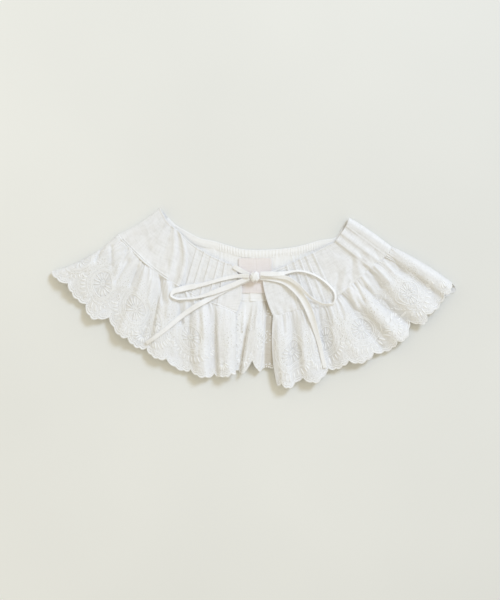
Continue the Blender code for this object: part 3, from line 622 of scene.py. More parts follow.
class Band:
    """A creased sheet of cloth between its near edge, at the neck side, and its far edge."""

    sign = -1.0
    parent: Optional["Band"] = None
    rows: Array = np.zeros(0)
    scallops: Optional[Array] = None
    creases = Creases()
    fold = 0.0
    lean = 0.0
    level = 7.8
    crisp = 0.0
    least = 3.3

    def __init__(self, near: Sequence, far: Sequence, middle: Sequence, bow: Sequence) -> None:
        """Sets the band up from one row for each fold.

        Args:
            near: Points of the near edge.
            far: Points of the far edge.
            middle: Heights half way across.
            bow: Sideways bows half way across.
        """
        self.near, self.far, self.middle, self.bow = (np.asarray(a, float) for a in (near, far, middle, bow))
        centre = 0.5 * (self.near + self.far)
        centre[:, 2] = self.middle
        self.knots = travelled(centre)
        self.length = float(self.knots[-1])

    def place(self, row: Union[float, Array]) -> Array:
        """Distance along the band of a row, which may lie between two rows."""
        return np.interp(row, np.arange(len(self.knots)), self.knots)

    def edge(self, values: Array, t: Array) -> Array:
        """Points of one edge at the places t."""
        return np.stack([through(self.knots, part, t) for part in values.T], axis=-1)

    def near_edge(self, t: Array) -> Array:
        """The near edge, which follows the far edge of the parent where there is one.

        Args:
            t: Distances along the band.

        Returns:
            Its points.
        """
        if self.parent is None:
            return self.edge(self.near, t)
        rows = through(self.knots, self.rows, t)
        return self.parent.edge(self.parent.far, self.parent.place(rows))

    def lobe(self, t: Array) -> Array:
        """How far the scallops stand out.

        Args:
            t: Distances along the band.

        Returns:
            Shares of the scallops' depth.
        """
        if self.scallops is None:
            return np.zeros_like(t)
        count = through(self.knots, self.scallops, t)
        small = 0.42 * np.abs(np.sin(3 * np.pi * count)) ** 0.8 - 0.25
        return np.abs(np.sin(np.pi * count)) ** 0.8 - SCALLOP_MEAN + small

    def run(self, t: Array) -> Array:
        """Distance across the band at the places t, without scallops."""
        gap = self.edge(self.far, t) - self.near_edge(t)
        return np.hypot(gap[..., 0], gap[..., 1])

    def relief(self, t: Array, v: Array, run: Array, z: Array) -> Array:
        """Height that fine folds add; a plain band has none."""
        return np.zeros_like(z)

    def sharpen(self, t: Array) -> Array:
        """Moves places between two folds so that the slopes are steeper and the tops broader.

        Args:
            t: Distances along the band.

        Returns:
            The moved ones.
        """
        k = np.clip(np.searchsorted(self.knots, t, side="right") - 1, 0, len(self.knots) - 2)
        low, gap = self.knots[k], self.knots[k + 1] - self.knots[k]
        u = ramp(t, low, gap)
        return low + gap * (u + self.crisp * (u * u * (3 - 2 * u) - u))

    def points(self, t: Array, v: Array) -> Array:
        """Finds points of the middle of the cloth.

        Args:
            t: Distances along the band.
            v: Shares of the way across it, of a shape that goes with t.

        Returns:
            The points, with x, y and z in the last axis.
        """
        t, v = np.broadcast_arrays(np.asarray(t, float), np.asarray(v, float))
        folded = self.sharpen(t)
        z = (
            self.near_edge(t)[..., 2] * (1 - v) * (1 - 2 * v)
            + through(self.knots, self.middle, folded) * 4 * v * (1 - v)
            + through(self.knots, self.far[:, 2], folded) * v * (2 * v - 1)
        )
        shifted = np.clip(t + self.tip(t, v, z), 0.0, self.length) if self.lean else t
        near = self.near_edge(shifted)
        across = self.edge(self.far, shifted) - near
        run = np.hypot(across[..., 0], across[..., 1])
        reach = v if self.parent is None else v - (SEAM_LAP / run) * (1 - v)
        reach = reach * (1 + self.lobe(t) * SCALLOP_DEPTH / run)
        side = 4 * v * (1 - v) * through(self.knots, self.bow, shifted) / run
        x = near[..., 0] + across[..., 0] * reach - side * across[..., 1]
        y = near[..., 1] + across[..., 1] * reach + side * across[..., 0]
        raised = ramp(z, 1.2, 2.4)
        lift = self.relief(t, v, run, z) + raised * self.creases.lift(x, y)
        lift = np.maximum(lift, (self.least - z) * raised)
        if self.parent is not None:
            under = np.clip(1 - v * run / 1.6, 0.0, 1.0)
            lift = lift * (1 - under) - SEAM_DROP * under * raised
        return np.stack([x, y, z + lift], axis=-1)

    def grid(self, t: Array, v: Array) -> Array:
        """Points of the cloth at every place t along and every share v across."""
        return self.points(t[:, None], v[None, :])

    def tip(self, t: Array, v: Array, z: Array) -> Array:
        """How far along the band the folds lean, most at their crests.

        Args:
            t: Distances along the band.
            v: Shares of the way across it.
            z: Heights of the large folds there.

        Returns:
            The distances.
        """
        ends = ramp(t - self.fold, 4.0, 12.0) * ramp(self.length - t, 0.0, 7.0)
        high = np.clip(z - self.level, -3.5, 5.0)
        return self.lean * high * ends * ramp(v, 0.0, 0.12) * (1 - 0.55 * v**3)

    def upward(self, t: Array, v: Array) -> Array:
        """Normals of the cloth's right side.

        Args:
            t: Distances along the band.
            v: Shares of the way across it.

        Returns:
            Unit vectors.
        """
        along = self.points(t + 0.4, v) - self.points(t - 0.4, v)
        low, high = np.clip(v - 0.008, 0, 1), np.clip(v + 0.008, 0, 1)
        return self.sign * unit(np.cross(along, self.points(t, high) - self.points(t, low)))

    def cloth_map(self, t: Array, v: Array) -> Array:
        """The cloth's own coordinates.

        Args:
            t: Distances along the band.
            v: Shares of the way across it.

        Returns:
            Millimetres along the cloth, down from its near edge, and up from its far edge.
        """
        t, v = np.broadcast_arrays(t[:, None], v[None, :])
        run = self.run(t)
        return np.stack([t, v * run, (1 - v) * run], axis=-1)


class Yoke(Band):
    """A front yoke with pintucks and stitched edges."""

    def __init__(
        self, table: Sequence[Row], ridges: Sequence[Row], side: Side, seed: int, drawn: float, welt: float
    ) -> None:
        """Sets the yoke up.

        Args:
            table: Its rows, one for each fold or tuck.
            ridges: Names of rows that stand up, with their heights and widths.
            side: Its side.
            seed: Seed of its unevenness.
            drawn: Height of the puckers that the ruffle draws into it.
            welt: How strongly its seam stands up.
        """
        self.names = [r[0] for r in table]
        near = [(r[1], r[2], r[6]) for r in table]
        far = [(r[3], r[4], r[7]) for r in table]
        super().__init__(near, far, [0.5 * (r[6] + r[7]) for r in table], [r[5] for r in table])
        self.sign = float(side.value)
        self.fold = self.at_row("fold")
        self.tucks = [self.at_row(name) for name in self.names if name.startswith("pintuck")]
        self.ridges = [(self.at_row(name), height, width) for name, height, width in ridges]
        self.ripple = Ripple(0.34, 7.0, 46.0, seed)
        self.drawn = Puckers(self.at_row("over"), self.length, 5.2, drawn, 11.0, seed + 7)
        self.welt = welt

    def at_row(self, name: str) -> float:
        """Distance along the yoke of the row with this name."""
        return float(self.knots[self.names.index(name)])

    def relief(self, t: Array, v: Array, run: Array, z: Array) -> Array:
        """Height of the pintucks, the welts at the edges and the pressed cloth's unevenness.

        Args:
            t: Distances along the band.
            v: Shares of the way across it.
            run: Distance across the band there.
            z: Heights of the large folds there.

        Returns:
            The heights.
        """
        out = self.ripple.lift(t, v * run) * np.clip(4 * v * (1 - v) + 0.2, 0, 1)
        for tuck in self.tucks:
            out = out + np.interp(t - tuck, PINTUCK_PLACE, PINTUCK_HEIGHT)
        for ridge, height, width in self.ridges:
            out = out + height * bell((t - ridge) / width) * np.clip(0.45 + 0.8 * v, 0, 1)
        seam = (1 - v) * run
        out = out + self.drawn.lift(t, seam)
        out = out + self.welt * sum(height * bell((seam - d) / width) for d, width, height in SEAM_WELT)
        for inward, welt in ((v * run, NECK_WELT), (self.length - t, FRONT_WELT)):
            for d, width, height in welt:
                out = out + height * bell((inward - d) / width)
        return ramp(z, 1.2, 2.4) * out


class Ruffle(Band):
    """A ruffle gathered onto its yoke, with a scalloped hem."""

    def __init__(
        self,
        table: Sequence[Row],
        parent: Band,
        creases: Sequence[Row],
        height: float,
        reach: float,
        seed: int,
    ) -> None:
        """Sets the ruffle up.

        Args:
            table: Its rows, one for each crest and trough.
            parent: The yoke that it is sewn to.
            creases: Its creases.
            height: Height of the small gathers at the seam.
            reach: How far they run from it.
            seed: Seed of its unevenness.
        """
        near = parent.edge(parent.far, parent.place([r[0] for r in table]))
        far = [(r[1], r[2], r[4]) for r in table]
        super().__init__(near, far, [r[3] for r in table], [r[5] for r in table])
        self.rows = np.array([r[0] for r in table], float)
        self.scallops = np.array([r[6] for r in table], float)
        self.parent = parent
        self.sign = parent.sign
        self.creases = Creases(creases)
        self.puckers = Puckers(0.0, self.length, GATHER_PITCH, height, reach, seed)
        self.ripple = Ripple(0.5, 8.0, 60.0, seed + 1)
        self.fold = float(self.knots[2]) if parent.fold else 0.0
        self.sample = np.linspace(self.fold, self.length, 3000)
        self.counted = np.maximum.accumulate(through(self.knots, self.scallops, self.sample))

    def relief(self, t: Array, v: Array, run: Array, z: Array) -> Array:
        """Height of the gathers, the hem's curl and the cloth's unevenness.

        Args:
            t: Distances along the band.
            v: Shares of the way across it.
            run: Distance across the band there.
            z: Heights of the large folds there.

        Returns:
            The heights.
        """
        gathers = self.puckers.lift(t, v * run)
        curl = 0.55 * v**8 * np.cos(2 * np.pi * through(self.knots, self.scallops, t))
        return ramp(z, 1.2, 3.0) * (gathers + curl + self.ripple.lift(t, v * run) * np.clip(3 * v, 0.2, 1))

    def full(self, t: Array) -> Tuple[Array, Array]:
        """Distance across the ruffle at the places t, without and with its scallops."""
        run = self.run(t)
        return run, run + self.lobe(t) * SCALLOP_DEPTH

    def at_scallop(self, count: Array) -> Array:
        """Distance along the ruffle of a place on the hem, counted in scallops."""
        return np.interp(count, self.counted, self.sample)

    def at(self, along: Array, up: Array, follow: bool) -> Tuple[Array, Array]:
        """Turns a place in the embroidery into a place on the band.

        Args:
            along: Millimetres along the hem.
            up: Millimetres above the hem.
            follow: Whether up starts from the scalloped edge and not from its mean line.

        Returns:
            The distances along the band and the shares of the way across it.
        """
        t = self.at_scallop(along / PITCH)
        run, full = self.full(t)
        return t, 1 - up / full if follow else (run - up) / full

    def cloth_map(self, t: Array, v: Array) -> Array:
        """The cloth's own coordinates.

        Args:
            t: Distances along the band.
            v: Shares of the way across it.

        Returns:
            Millimetres along the hem, up from its scalloped edge, and up from its mean line.
        """
        t, v = np.broadcast_arrays(t[:, None], v[None, :])
        run, full = self.full(t)
        count = through(self.knots, self.scallops, t)
        return np.stack([count * PITCH, (1 - v) * full, run - v * full], axis=-1)


class BackYoke(Band):
    """The back yoke, flat on the table, with the gathers of its neck."""

    least = 0.6

    def __init__(self, table: Sequence[Row]) -> None:
        """Sets the back yoke up.

        Args:
            table: Its rows, from left to right.
        """
        lie = 0.5 * WALL
        near, far = [(*r[:2], lie) for r in table], [(*r[2:], lie) for r in table]
        super().__init__(near, far, [lie] * len(table), [0.0] * len(table))
        start, stop = np.interp((-46.0, 72.0), self.near[:, 0], self.knots)
        self.puckers = Puckers(start, stop, 2.9, 0.55, 26.0, 41)
        self.drawn = [(np.interp(x, self.far[:, 0], self.knots), *size) for x, *size in DRAWN_BACK]
        self.ripple = Ripple(0.2, 8.0, 50.0, 42)

    def relief(self, t: Array, v: Array, run: Array, z: Array) -> Array:
        """Height of the gathers under the facing and of the welt at the seam.

        Args:
            t: Distances along the band.
            v: Shares of the way across it.
            run: Distance across the band there.
            z: Heights of the large folds there; not used.

        Returns:
            The heights.
        """
        seam = (1 - v) * run
        out = self.puckers.lift(t, np.maximum(v * run - 7.0, 0.0)) + self.ripple.lift(t, v * run)
        out = out + 0.9 * bell((v * run - 3.2) / 3.6)
        for place, left, right, height in self.drawn:
            out = out + height * bell((t - place) / np.where(t < place, left, right)) * bell(seam / 9.0)
        return out + 0.3 * bell((seam - 0.8) / 0.6) - 0.12 * bell((seam - 2.2) / 0.55)


def quads(rows: int, columns: int, tube: bool = False, hoop: bool = False) -> Array:
    """Faces of a grid of points.

    Args:
        rows: How many rows it has.
        columns: How many points are in a row.
        tube: Whether each row closes on itself.
        hoop: Whether the last row meets the first.

    Returns:
        The corners of each face.
    """
    index = np.arange(rows * columns).reshape(rows, columns)
    if tube:
        index = np.hstack([index, index[:, :1]])
    if hoop:
        index = np.vstack([index, index[:1]])
    return np.stack([index[:-1, :-1], index[1:, :-1], index[1:, 1:], index[:-1, 1:]], axis=-1).reshape(-1, 4)


def make_mesh(name: str, vertices: Array, faces: Sequence, material: Material) -> Piece:
    """Makes a smooth mesh object at the origin.

    Args:
        name: The piece's name.
        vertices: Its points in millimetres.
        faces: The corners of each face.
        material: Its finish.

    Returns:
        The object.
    """
    mesh = bpy.data.meshes.new(name)
    mesh.from_pydata((np.asarray(vertices, float) * MM).tolist(), [], faces)
    mesh.polygons.foreach_set("use_smooth", [True] * len(mesh.polygons))
    mesh.update()
    mesh.set_sharp_from_angle(angle=1.1)
    mesh.materials.append(material)
    piece = bpy.data.objects.new(name, mesh)
    bpy.context.scene.collection.objects.link(piece)
    return piece


def store(piece: Piece, name: str, values: Array) -> None:
    """Stores a vector for each point of a piece under a name that its nodes read."""
    layer = piece.data.attributes.new(name, "FLOAT_VECTOR", "POINT")
    layer.data.foreach_set("vector", np.asarray(values, np.float32).ravel())


def ready(piece: Piece, slot: str, *nodes: str) -> Piece:
    """Hands a piece to the frame.

    Args:
        piece: The piece.
        slot: A material slot; not used.
        nodes: The solids that it stands for.

    Returns:
        The piece.
    """
    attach(piece, "root")
    log.info("%s: %d faces", piece.name, len(piece.data.polygons))
    if nodes:
        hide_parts(*nodes)
        log.info("half its surface: %.5f m2", 0.5 * sum(p.area for p in piece.data.polygons))
    return piece


def hollow(height: Array, reach: int) -> Array:
    """How far each point of a grid lies below the folds on both sides of it, the depth that the finishes turn
    into painted shade.

    Args:
        height: Heights of the grid's points.
        reach: How many columns to look over on each side.

    Returns:
        The depths, as vectors with the depth in each part.
    """
    top = height
    for choose in (np.max, np.mean):
        padded = np.pad(top, ((reach, reach), (0, 0)), mode="edge")
        windows = np.lib.stride_tricks.sliding_window_view(padded, 2 * reach + 1, axis=0)
        top = choose(windows, axis=-1)
    return np.repeat((top - height).reshape(-1, 1), 3, axis=1)


def sheet_of(
    name: str,
    grid: Array,
    places: Array,
    sign: float,
    material: Material,
    wall: float = CLOTH,
    shaded: Optional[Array] = None,
) -> Piece:
    """Closes a sheet of cloth of even thickness around a grid of points.

    Args:
        name: The piece's name.
        grid: The points of the middle of the cloth.
        places: The cloth's own coordinates at those points.
        sign: What turns the grid's normals to the right side.
        material: Its finish.
        wall: The cloth's thickness.
        shaded: How deep in painted shade its points lie, where other cloth hangs over them.

    Returns:
        The piece.
    """
    normal = sign * unit(np.cross(np.gradient(grid, axis=0), np.gradient(grid, axis=1)))
    n, m = grid.shape[:2]
    top = (grid + normal * wall / 2).reshape(-1, 3)
    foot = (grid - normal * wall / 2).reshape(-1, 3)
    foot[:, 2] = np.maximum(foot[:, 2], 0.02)
    face = quads(n, m)
    index = np.arange(n * m).reshape(n, m)
    rim = np.concatenate([index[:, 0], index[-1, 1:], index[-2::-1, -1], index[0, -2:0:-1]])
    after = np.roll(rim, -1)
    edge = np.stack([rim, rim + n * m, after + n * m, after], axis=-1)
    faces = np.concatenate([face, face[:, ::-1] + n * m, edge])
    if sign < 0:
        faces = faces[:, ::-1]
    piece = make_mesh(name, np.concatenate([top, foot]), faces.tolist(), material)
    store(piece, "cloth", np.concatenate([places.reshape(-1, 3)] * 2))
    # Depth below the folds, or the given shade where that is more, which the finishes paint as shade
    deep = hollow(grid[..., 2], 9)
    if shaded is not None:
        deep = np.maximum(deep, shaded.reshape(-1, 1))
    store(piece, "hollow", np.concatenate([deep] * 2))
    return piece


class NodeKit:
    """Makes the nodes of one tree."""

    def __init__(self, tree: bpy.types.NodeTree) -> None:
        """Keeps the tree that the nodes go into."""
        self.tree = tree

    def make(
        self, kind: str, settings: Optional[Dict] = None, inputs: Optional[Dict] = None
    ) -> bpy.types.Node:
        """Makes a node.

        Args:
            kind: The node's type.
            settings: Its settings, which are set before its sockets.
            inputs: Values or links of its sockets, by name or number.

        Returns:
            The node.
        """
        node = self.tree.nodes.new(kind)
        for name, value in (settings or {}).items():
            setattr(node, name, value)
        self.plug(node, inputs or {})
        return node

    def plug(self, node: bpy.types.Node, inputs: Dict) -> None:
        """Gives a node's sockets their values or links.

        Args:
            node: The node.
            inputs: Values or links, by the sockets' names or numbers.
        """
        for key, value in inputs.items():
            source = value.socket if isinstance(value, Value) else value
            if isinstance(source, Socket):
                self.tree.links.new(source, node.inputs[key])
            else:
                node.inputs[key].default_value = source

    def split(self, vector: Socket) -> List["Value"]:
        """The three parts of a vector."""
        parts = self.make("ShaderNodeSeparateXYZ", inputs={0: vector}).outputs
        return [Value(self, socket) for socket in parts]

    def stored(self, name: str) -> List["Value"]:
        """The parts of a vector stored on the piece, in millimetres."""
        return self.split(self.make("ShaderNodeAttribute", {"attribute_name": name}).outputs["Vector"])

    def join(self, x: "Number", y: "Number", z: "Number") -> Socket:
        """A vector of three values."""
        return self.make("ShaderNodeCombineXYZ", inputs={0: x, 1: y, 2: z}).outputs[0]

    def noise(self, where: Socket, scale: float, detail: float = 2.0) -> "Value":
        """Soft noise from 0 to 1 at a place."""
        inputs = {"Vector": where, "Scale": scale, "Detail": detail}
        return Value(self, self.make("ShaderNodeTexNoise", inputs=inputs).outputs[0])

    def mix(self, share: "Number", first: "Tint", second: "Tint") -> Socket:
        """A colour between two colours.

        Args:
            share: How much of the second.
            first: The first.
            second: The second.

        Returns:
            The colour.
        """
        inputs = {0: share}
        for key, colour in ((6, first), (7, second)):
            inputs[key] = (*colour, 1.0) if isinstance(colour, tuple) else colour
        return self.make("ShaderNodeMix", {"data_type": "RGBA", "clamp_factor": True}, inputs).outputs[2]


def arithmetic(operation: str, swapped: bool = False) -> Callable[..., "Value"]:
    """Makes the method for one of Python's operators.

    Args:
        operation: The Math node's operation.
        swapped: Whether the other part comes first.

    Returns:
        The method, which adds the Math node.
    """

    def method(first: "Value", *other: "Number") -> "Value":
        """The result on the value itself and, where there is one, the other part."""
        return first.math(operation, *other, first) if swapped else first.math(operation, first, *other)

    return method


class Value:
    """A number in a shader that Python's operators work on."""

    __add__ = __radd__ = arithmetic("ADD")
    __sub__ = arithmetic("SUBTRACT")
    __rsub__ = arithmetic("SUBTRACT", True)
    __mul__ = __rmul__ = arithmetic("MULTIPLY")
    __truediv__ = arithmetic("DIVIDE")
    __mod__ = arithmetic("FLOORED_MODULO")
    __abs__ = arithmetic("ABSOLUTE")
    sin = arithmetic("SINE")
    root = arithmetic("SQRT")

    def __init__(self, kit: NodeKit, socket: Socket) -> None:
        """Wraps a socket."""
        self.kit = kit
        self.socket = socket

    def math(self, operation: str, *parts: "Number") -> "Value":
        """A Math node of the parts, in their order."""
        node = self.kit.make("ShaderNodeMath", {"operation": operation}, dict(enumerate(parts)))
        return Value(self.kit, node.outputs[0])

    def clamp(self) -> "Value":
        """The value held between 0 and 1."""
        return Value(self.kit, self.kit.make("ShaderNodeClamp", inputs={0: self}).outputs[0])

    def inside(self, low: float, high: float, soft: float) -> "Value":
        """1 between low and high, falling to 0 over soft."""
        return (((high - low) / 2 + soft - abs(self - (low + high) / 2)) / soft).clamp()


Tint = Union[Colour, Socket]
Number = Union[Value, float]


@dataclass(frozen=True)
class Finish:
    """Woven white cotton: a plain weave with uneven yarns, with painted shade where it lies below the folds
    beside it.
    """

    name: str
    colour: Colour
    dark_tone_and_shade: Colour
    roughness: float = 0.86
    yarn: float = 0.46
    weave: float = 0.05
    slub: float = 0.05
    mottle: float = 0.8
    # Painted shade in the hollows: its strength, the depth where it starts, the depth over which it grows,
    # and its colour
    painted_shade: float = 0.0
    painted_shade_from: float = 0.8
    painted_shade_over: float = 4.5
    painted_shade_colour: Optional[Colour] = None
    lustre: Tuple[Tuple[str, float], ...] = (
        ("Sheen Weight", 0.22),
        ("Sheen Roughness", 0.4),
        ("Specular IOR Level", 0.22),
    )

    def start(self) -> Tuple[Material, NodeKit, bpy.types.Node]:
        """Starts a material.

        Returns:
            The material, the maker of its nodes and its shader.
        """
        made = bpy.data.materials.new(self.name)
        made.use_nodes = True
        return made, NodeKit(made.node_tree), made.node_tree.nodes["Principled BSDF"]

    def pattern(self, kit: NodeKit, place: List[Value]) -> Tuple[Number, Number]:
        """How light the pattern is, 1 being plain cloth, and its height in millimetres."""
        return 1.0, 0.0

    def ground(self, place: List[Value]) -> Value:
        """Height of the weave in millimetres."""
        turn = 2 * math.pi / self.yarn
        return (place[0] * turn).sin() * (place[1] * turn).sin() * self.weave

    def material(self) -> Material:
        """Makes the material.

        Returns:
            The material, whose colour, roughness and bump all vary over the cloth; its colour holds painted
            shade in the cloth's hollows.
        """
        made, kit, shader = self.start()
        place = kit.stored("cloth")
        light, raised = self.pattern(kit, place)
        weave = self.ground(place)
        along = kit.noise(kit.join(place[0] * 0.1, place[1] * 0.55, 0.0), 1.0, 3.0)
        across = kit.noise(kit.join(place[0] * 0.55, place[1] * 0.1, 7.0), 1.0, 3.0)
        yarns = along + across - 1.0
        blotch = kit.noise(kit.join(place[0], place[1], 3.0), 0.07)
        # Share of painted shade, from how far the cloth lies below the folds beside it or in shade beside
        # another piece
        depth = ((kit.stored("hollow")[0] - self.painted_shade_from) / self.painted_shade_over).clamp()
        tone = (blotch * 0.35 + yarns * self.mottle + 0.65) * light
        relief = weave + yarns * self.slub + raised
        bump = kit.make("ShaderNodeBump", inputs={"Strength": 1.0, "Distance": MM, "Height": relief})
        colour = kit.mix(tone, self.dark_tone_and_shade, self.colour)
        colour = kit.mix(depth * self.painted_shade, colour, self.painted_shade_colour or self.dark_tone_and_shade)
        rough = (self.roughness + yarns * 0.12).clamp()
        inputs = {"Base Color": colour, "Roughness": rough, "Normal": bump.outputs[0]}
        kit.plug(shader, {**inputs, **dict(self.lustre)})
        return made


@dataclass(frozen=True)
class EyeletFinish(Finish):
    """Eyelet cotton: the weave with the open grounds of the wheels and seeded dots between, and painted shade
    in the openings and behind the fans.
    """

    wheel_up: float = 31.0
    open_from: float = 2.7
    open_to: float = 11.2
    spokes: int = 14
    spoke_half: float = 0.45
    hole_shade: float = 0.12
    fan_shade: float = 0.05
    pebble_scale: float = 0.5

    def pattern(self, kit: NodeKit, place: List[Value]) -> Tuple[Number, Number]:
        """Sunk ground with painted shade between the spokes of the wheels and behind the fans; pebbled
        elsewhere.

        Args:
            kit: Makes the nodes.
            place: The cloth's own coordinates.

        Returns:
            How light it is, 1 being plain cloth, and its height in millimetres.
        """
        along = place[0] % (2 * PITCH)
        along = ((along + PITCH) % (2 * PITCH) - PITCH) / OVAL
        up = place[2] - self.wheel_up
        radius = (along * along + up * up).root()
        turn = along.math("ARCTAN2", up, along) * (self.spokes / (2 * math.pi))
        off = abs(turn % 1.0 - 0.5) * radius * (2 * math.pi / self.spokes)
        ladder = radius.inside(self.open_from, self.open_to, 0.5)
        gap = ((radius * math.pi / self.spokes - off - self.spoke_half) / 0.3).clamp()
        hole = ladder * gap * place[0].inside(-0.5 * PITCH, 9 * PITCH, 1.0)
        inputs = {"Vector": kit.join(place[0], place[1], 0.0), "Scale": self.pebble_scale}
        cell = kit.make("ShaderNodeTexVoronoi", {"feature": "F1"}, inputs)
        pebble = (1.0 - Value(kit, cell.outputs["Distance"]) * 1.5).clamp() * place[1].inside(0.0, 55.0, 9.0)
        fan = place[2].inside(3.9, 12.5, 0.8)
        # Painted shade in the wheels' openings and behind the fans' petals
        light = (1.0 - hole * self.hole_shade) * (1.0 - fan * self.fan_shade) * (0.94 + pebble * 0.14)
        return light, pebble * 0.3 - fan * 0.15 - hole * 0.32


@dataclass(frozen=True)
class ThreadFinish(Finish):
    """Mercerised embroidery thread, smoother and a little glossier than the cloth."""

    roughness: float = 0.6

    def pattern(self, kit: NodeKit, place: List[Value]) -> Tuple[Number, Number]:
        """Fine strands that run across each stitch."""
        return 1.0, kit.noise(kit.make("ShaderNodeTexCoord").outputs["Object"], 1500.0) * 0.05


@dataclass(frozen=True)
class LabelFinish(Finish):
    """A woven label: a fine satin weave with ribs across it."""

    roughness: float = 0.6

    def ground(self, place: List[Value]) -> Value:
        """Ribs of the satin.

        Args:
            place: The cloth's own coordinates.

        Returns:
            Their height in millimetres.
        """
        rib = (place[1] * (2 * math.pi / 0.55)).sin()
        yarn = (place[0] * (2 * math.pi / 0.3)).sin()
        return rib * self.weave + rib * yarn * self.weave * 0.4


@dataclass(frozen=True)
class PlainFinish(Finish):
    """A matt surface with a faint mottle, for the floor, where it also carries a painted falloff of light,
    and for the painted shadow in an eyelet.
    """

    roughness: float = 0.95
    lustre: Tuple[Tuple[str, float], ...] = (("Specular IOR Level", 0.1),)
    grain: float = 900.0
    # Painted falloff of light: change in the share of the light colour per metre along x and along y
    painted_falloff: Tuple[float, float] = (0.0, 0.0)

    def material(self) -> Material:
        """Makes the material.

        Returns:
            The material, mottled on its own coordinates.
        """
        made, kit, shader = self.start()
        where = kit.make("ShaderNodeTexCoord").outputs["Object"]
        place = kit.split(where)
        mottle = kit.noise(where, self.grain, 3.0) + place[0] * self.painted_falloff[0] + place[1] * self.painted_falloff[1]
        colour = kit.mix(mottle.clamp(), self.dark_tone_and_shade, self.colour)
        kit.plug(shader, {"Base Color": colour, "Roughness": self.roughness, **dict(self.lustre)})
        return made


@dataclass
class Needlework:
    """Scatters stitches or eyelets with Geometry Nodes, and the dark discs of painted shadow inside the
    eyelets.
    """

    motif: Motif
    material: Material
    seed: int = 5
    uneven: float = 0.08
    tree: Optional[bpy.types.NodeTree] = field(default=None, init=False)

    def shape(self, kit: NodeKit) -> Socket:
        """One motif, about 1 unit long and wide.

        Args:
            kit: Makes the nodes.

        Returns:
            Its mesh, of a few dozen faces at most.
        """
        if self.motif is Motif.STITCH:
            inputs = {"Segments": 6, "Rings": 4, "Radius": 0.5}
            return kit.make("GeometryNodeMeshUVSphere", inputs=inputs).outputs["Mesh"]
        if self.motif is Motif.HOLE:
            inputs = {"Vertices": 8, "Radius": 0.5}
            return kit.make("GeometryNodeMeshCircle", {"fill_type": "NGON"}, inputs).outputs["Mesh"]
        ring, cord = (
            kit.make("GeometryNodeCurvePrimitiveCircle", inputs={"Resolution": corners, "Radius": radius})
            for corners, radius in ((9, 0.5), (4, 0.17))
        )
        inputs = {"Curve": ring.outputs["Curve"], "Profile Curve": cord.outputs["Curve"]}
        return kit.make("GeometryNodeCurveToMesh", inputs=inputs).outputs["Mesh"]

    def grow(self) -> bpy.types.NodeTree:
        """Builds the tree.

        Returns:
            The tree: a motif on each point, turned by the point's vectors and scaled by its size.
        """
        tree = bpy.data.node_groups.new("needlework_" + self.motif.value, "GeometryNodeTree")
        for name, way, kind in (
            ("Geometry", "INPUT", "Geometry"),
            ("Scale", "INPUT", "Float"),
            ("Unevenness", "INPUT", "Float"),
            ("Seed", "INPUT", "Int"),
            ("Geometry", "OUTPUT", "Geometry"),
        ):
            tree.interface.new_socket(name=name, in_out=way, socket_type="NodeSocket" + kind)
        kit = NodeKit(tree)
        start = kit.make("NodeGroupInput").outputs
        vector = {"data_type": "FLOAT_VECTOR"}
        along, upward, size = (
            kit.make("GeometryNodeInputNamedAttribute", vector, {"Name": name}).outputs["Attribute"]
            for name in ("along", "upward", "size")
        )
        axes = {"primary_axis": "Z", "secondary_axis": "X"}
        inputs = {"Primary Axis": upward, "Secondary Axis": along}
        turn = kit.make("FunctionNodeAxesToRotation", axes, inputs).outputs[0]
        uneven = Value(kit, start["Unevenness"])
        inputs = {2: 1.0 - uneven, 3: 1.0 + uneven, "Seed": start["Seed"]}
        vary = kit.make("FunctionNodeRandomValue", {"data_type": "FLOAT"}, inputs)
        scale = Value(kit, vary.outputs[1]) * Value(kit, start["Scale"])
        sized = kit.make("ShaderNodeVectorMath", {"operation": "SCALE"}, {0: size, "Scale": scale}).outputs[0]
        inputs = {"Points": start["Geometry"], "Instance": self.shape(kit), "Rotation": turn, "Scale": sized}
        laid = kit.make("GeometryNodeInstanceOnPoints", inputs=inputs).outputs[0]
        for kind in ("GeometryNodeRealizeInstances", "GeometryNodeSetShadeSmooth"):
            laid = kit.make(kind, inputs={"Geometry": laid}).outputs[0]
        inputs = {"Geometry": laid, "Material": self.material}
        laid = kit.make("GeometryNodeSetMaterial", inputs=inputs).outputs[0]
        kit.make("NodeGroupOutput", inputs={"Geometry": laid})
        return tree

    def lay(self, name: str, points: Array, along: Array, upward: Array, size: Array) -> Piece:
        """Lays one motif at each point.

        Args:
            name: The piece's name.
            points: Where the motifs go, in millimetres.
            along: Which way each points.
            upward: The cloth's normals there.
            size: Length, width and height of each, in millimetres.

        Returns:
            The motifs as one plain mesh.
        """
        self.tree = self.tree or self.grow()
        cloud = bpy.data.meshes.new(name + "_points")
        cloud.from_pydata((points * MM).tolist(), [], [])
        piece = bpy.data.objects.new(name, cloud)
        bpy.context.scene.collection.objects.link(piece)
        for key, values in (("along", along), ("upward", upward), ("size", size * MM)):
            store(piece, key, values)
        modifier = piece.modifiers.new("needlework", "NODES")
        modifier.node_group = self.tree
        inputs = {"Scale": 1.0, "Unevenness": self.uneven, "Seed": self.seed}
        for item in self.tree.interface.items_tree:
            if item.in_out == "INPUT" and item.name in inputs:
                modifier[item.identifier] = inputs[item.name]
        graph = bpy.context.evaluated_depsgraph_get()
        mesh = bpy.data.meshes.new_from_object(piece.evaluated_get(graph), depsgraph=graph)
        piece.modifiers.remove(modifier)
        mesh.name = name
        piece.data = mesh
        bpy.data.meshes.remove(cloud)
        return piece


def stitches(along: Array, up: Array, angle: Array, length: float, width: float, height: float) -> Array:
    """Rows of needlework: place along and up, angle, length, width and height."""
    return np.stack(np.broadcast_arrays(along, up, angle, length, width, height), axis=-1).reshape(-1, 6)


def joined(parts: Sequence[Rows]) -> Rows:
    """Puts the points, directions, normals and sizes of several lots of needlework together."""
    return tuple(np.concatenate(part) for part in zip(*parts))


